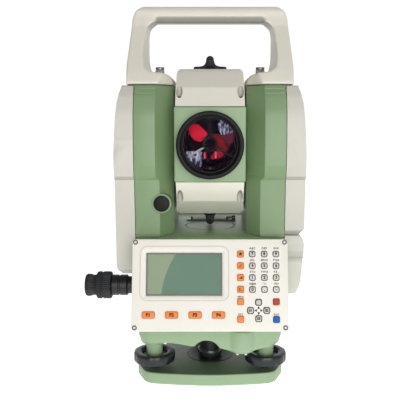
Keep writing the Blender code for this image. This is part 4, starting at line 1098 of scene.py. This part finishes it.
def build_panel(prefix, side):
    place = panel_place(prefix)
    keys = panel_keys()

    def add(name, shape, material, *replaces, smooth=35):
        piece(f"{prefix}_{name}", shape, place, material, "alidade", *replaces, smooth=smooth)

    outline = sided([(60.3, 87), (60.3, 148), (77.3, 148.3), (98.4, 74.6)], side)
    case = soft(prism(outline, -66.5, 66.5, "side"), 2.0, 4, 35)
    well = block((-63.5, -35.5, -8.2), (63.5, 35.5, 2))
    well.transform(BODY.inverted() @ place)
    piece(prefix + "_case_casting", cut(case, well), BODY, GREEN, "alidade", prefix + "_panel_case")

    plate = soft(prism(rounded(rectangle(138, 81), 3.5), -FACEPLATE_THICKNESS, 0), 0.7, 3, 50)
    window = rectangle(*WINDOW, WINDOW_CENTRE)
    holes = [prism(window, -5, 5), tapered(window, -1.5, 0.4, 2.9)]
    holes += [hole_shape(centre, width + 0.6, height + 0.6, 1.6) for _name, centre, width, height, _look in keys]
    holes += [hole_shape(centre, NUMBER_KEY + 0.5, NUMBER_KEY + 0.5, 1.4) for centre in NUMBERS]
    holes.append(frame_line((79.4, 48.8, 7), (77.4, 46.8, 6.2), (-0.50, 2), (-1, 3)))
    for hole in holes:
        plate = cut(plate, hole)
    add("faceplate_moulding", plate, PANEL_CREAM, prefix + "_faceplate")
    # Painted shade: a strip of darker cream fills the groove round the display, standing in for the shade along
    # its embossed frame.
    painted_shade_strip = frame_line((79.2, 48.6, 6.9), (77.6, 47.0, 6.3), (-0.4, 0.03), (-1, 1))
    add("display_frame_painted_shade", painted_shade_strip, PAINTED_FRAME_SHADE)
    rim = cut(prism(rectangle(67.1, 37.5, WINDOW_CENTRE), -4.1, -0.9),
              prism(rectangle(64.9, 35.3, WINDOW_CENTRE), -5, 2))
    add("display_rim", rim, GLOSS_BLACK)
    screen = prism(rectangle(64.8, 35.2, WINDOW_CENTRE), -4.1, -1.2)
    add("display_screen", screen, display_material(prefix, place), prefix + "_display")
    build_keys(prefix, place, keys)

    rims = [rim_shape(centre, NUMBER_KEY) for centre in NUMBERS]
    rims += [rim_shape(centre, ARROW_KEY) for centre in ARROWS.values()]
    add("key_outlines", gathered(*rims), INK, smooth=20)
    add("labels", gathered(*panel_labels()), INK, smooth=20)
    ring = [(1.9, 0.35), (2.2, 0.1), (2.2, -0.5), (1.1, -0.5), (1.1, 0.2), (1.3, 0.35)]
    add("panel_screws", gathered(*[lathe(ring, SMALL, centre=spot) for spot in CORNERS]), SCREW_RING)
    sockets = [cylinder(1.1, -0.5, 0.06, SMALL, centre=spot) for spot in CORNERS]
    add("panel_screw_sockets", gathered(*sockets), WHITE_MARK)


# ---- build

build_base()
build_tribrach_body()
build_footscrews()
build_circular_level()
build_alidade()
build_handle()
build_drives()
build_telescope()
build_panel("front", -1)
build_panel("rear", 1)

INNER_LOOKS = {"spindle": STEEL, "horizontal_circle": CLEAR_GLASS, "vertical_circle": CLEAR_GLASS,
               "main_board": CIRCUIT}
for name, look in INNER_LOOKS.items():
    node = frame["nodes"][name]
    node.data.materials.clear()
    node.data.materials.append(look)

# ---- studio


def area_light(name, location, target, size, power):
    data = bpy.data.lights.new(name, "AREA")
    data.shape = "RECTANGLE"
    data.size, data.size_y = size
    data.energy = power
    light = placed(name, data)
    light.location = location
    light.rotation_euler = (Vector(target) - Vector(location)).to_track_quat("-Z", "Y").to_euler()


def studio_world():
    """White straight behind the instrument and grey all round, a little darker on the left."""
    world = bpy.data.worlds.new("studio")
    world.use_nodes = True
    tree = world.node_tree
    direction = add_node(tree, "TexCoord", {}, "Generated")
    slope = add_node(tree, "VectorMath", {0: direction, 1: (0.08, 0, 0.03)}, "Value", operation="DOT_PRODUCT")
    grey = add_node(tree, "Math", {0: slope, 1: 0.22}, "Value", operation="ADD")
    strength = span(tree, component(tree, direction, "Y"), grey, 1.05, 0.70, 0.88)
    wire(tree, tree.nodes["Background"], {"Color": (1, 1, 1, 1), "Strength": strength})
    return world


def studio_floor():
    """Pale paper that glows from the instrument backwards."""
    shape = bmesh.new()
    bmesh.ops.create_grid(shape, x_segments=1, y_segments=1, size=6)
    mesh = mesh_of("floor", shape)
    paper = surface("", "studio_floor", (0.90, 0.90, 0.895), (0.7, 60, 0.01, 0.003))
    tree = paper.node_tree
    distance = component(tree, add_node(tree, "TexCoord", {}, "Object"), "Y")
    glow = span(tree, distance, 0.02, 0.85, -0.42, -0.14)
    wire(tree, tree.nodes["Principled BSDF"], {"Emission Color": (1, 1, 1, 1), "Emission Strength": glow})
    mesh.materials.append(paper)
    return placed("floor", mesh)


def studio():
    floor = studio_floor()
    bpy.context.scene.world = studio_world()
    area_light("key", (0.27, -1.48, 0.45), (AXIS_X, 0, 0.16), (1.2, 1.0), 13.1)
    area_light("low", (0.05, -1.2, 0.12), (AXIS_X, 0, 0.05), (1.0, 0.2), 0.7)
    data = bpy.data.cameras.new("camera")
    data.lens = 52.7
    data.clip_start = 0.01
    camera = placed("camera", data)
    camera.location = (AXIS_X, -0.616, 0.2628)
    camera.rotation_euler = (math.radians(90 - 9.05), 0, 0)
    bpy.context.scene.camera = camera
    bpy.context.scene.view_settings.view_transform = "Standard"


studio()
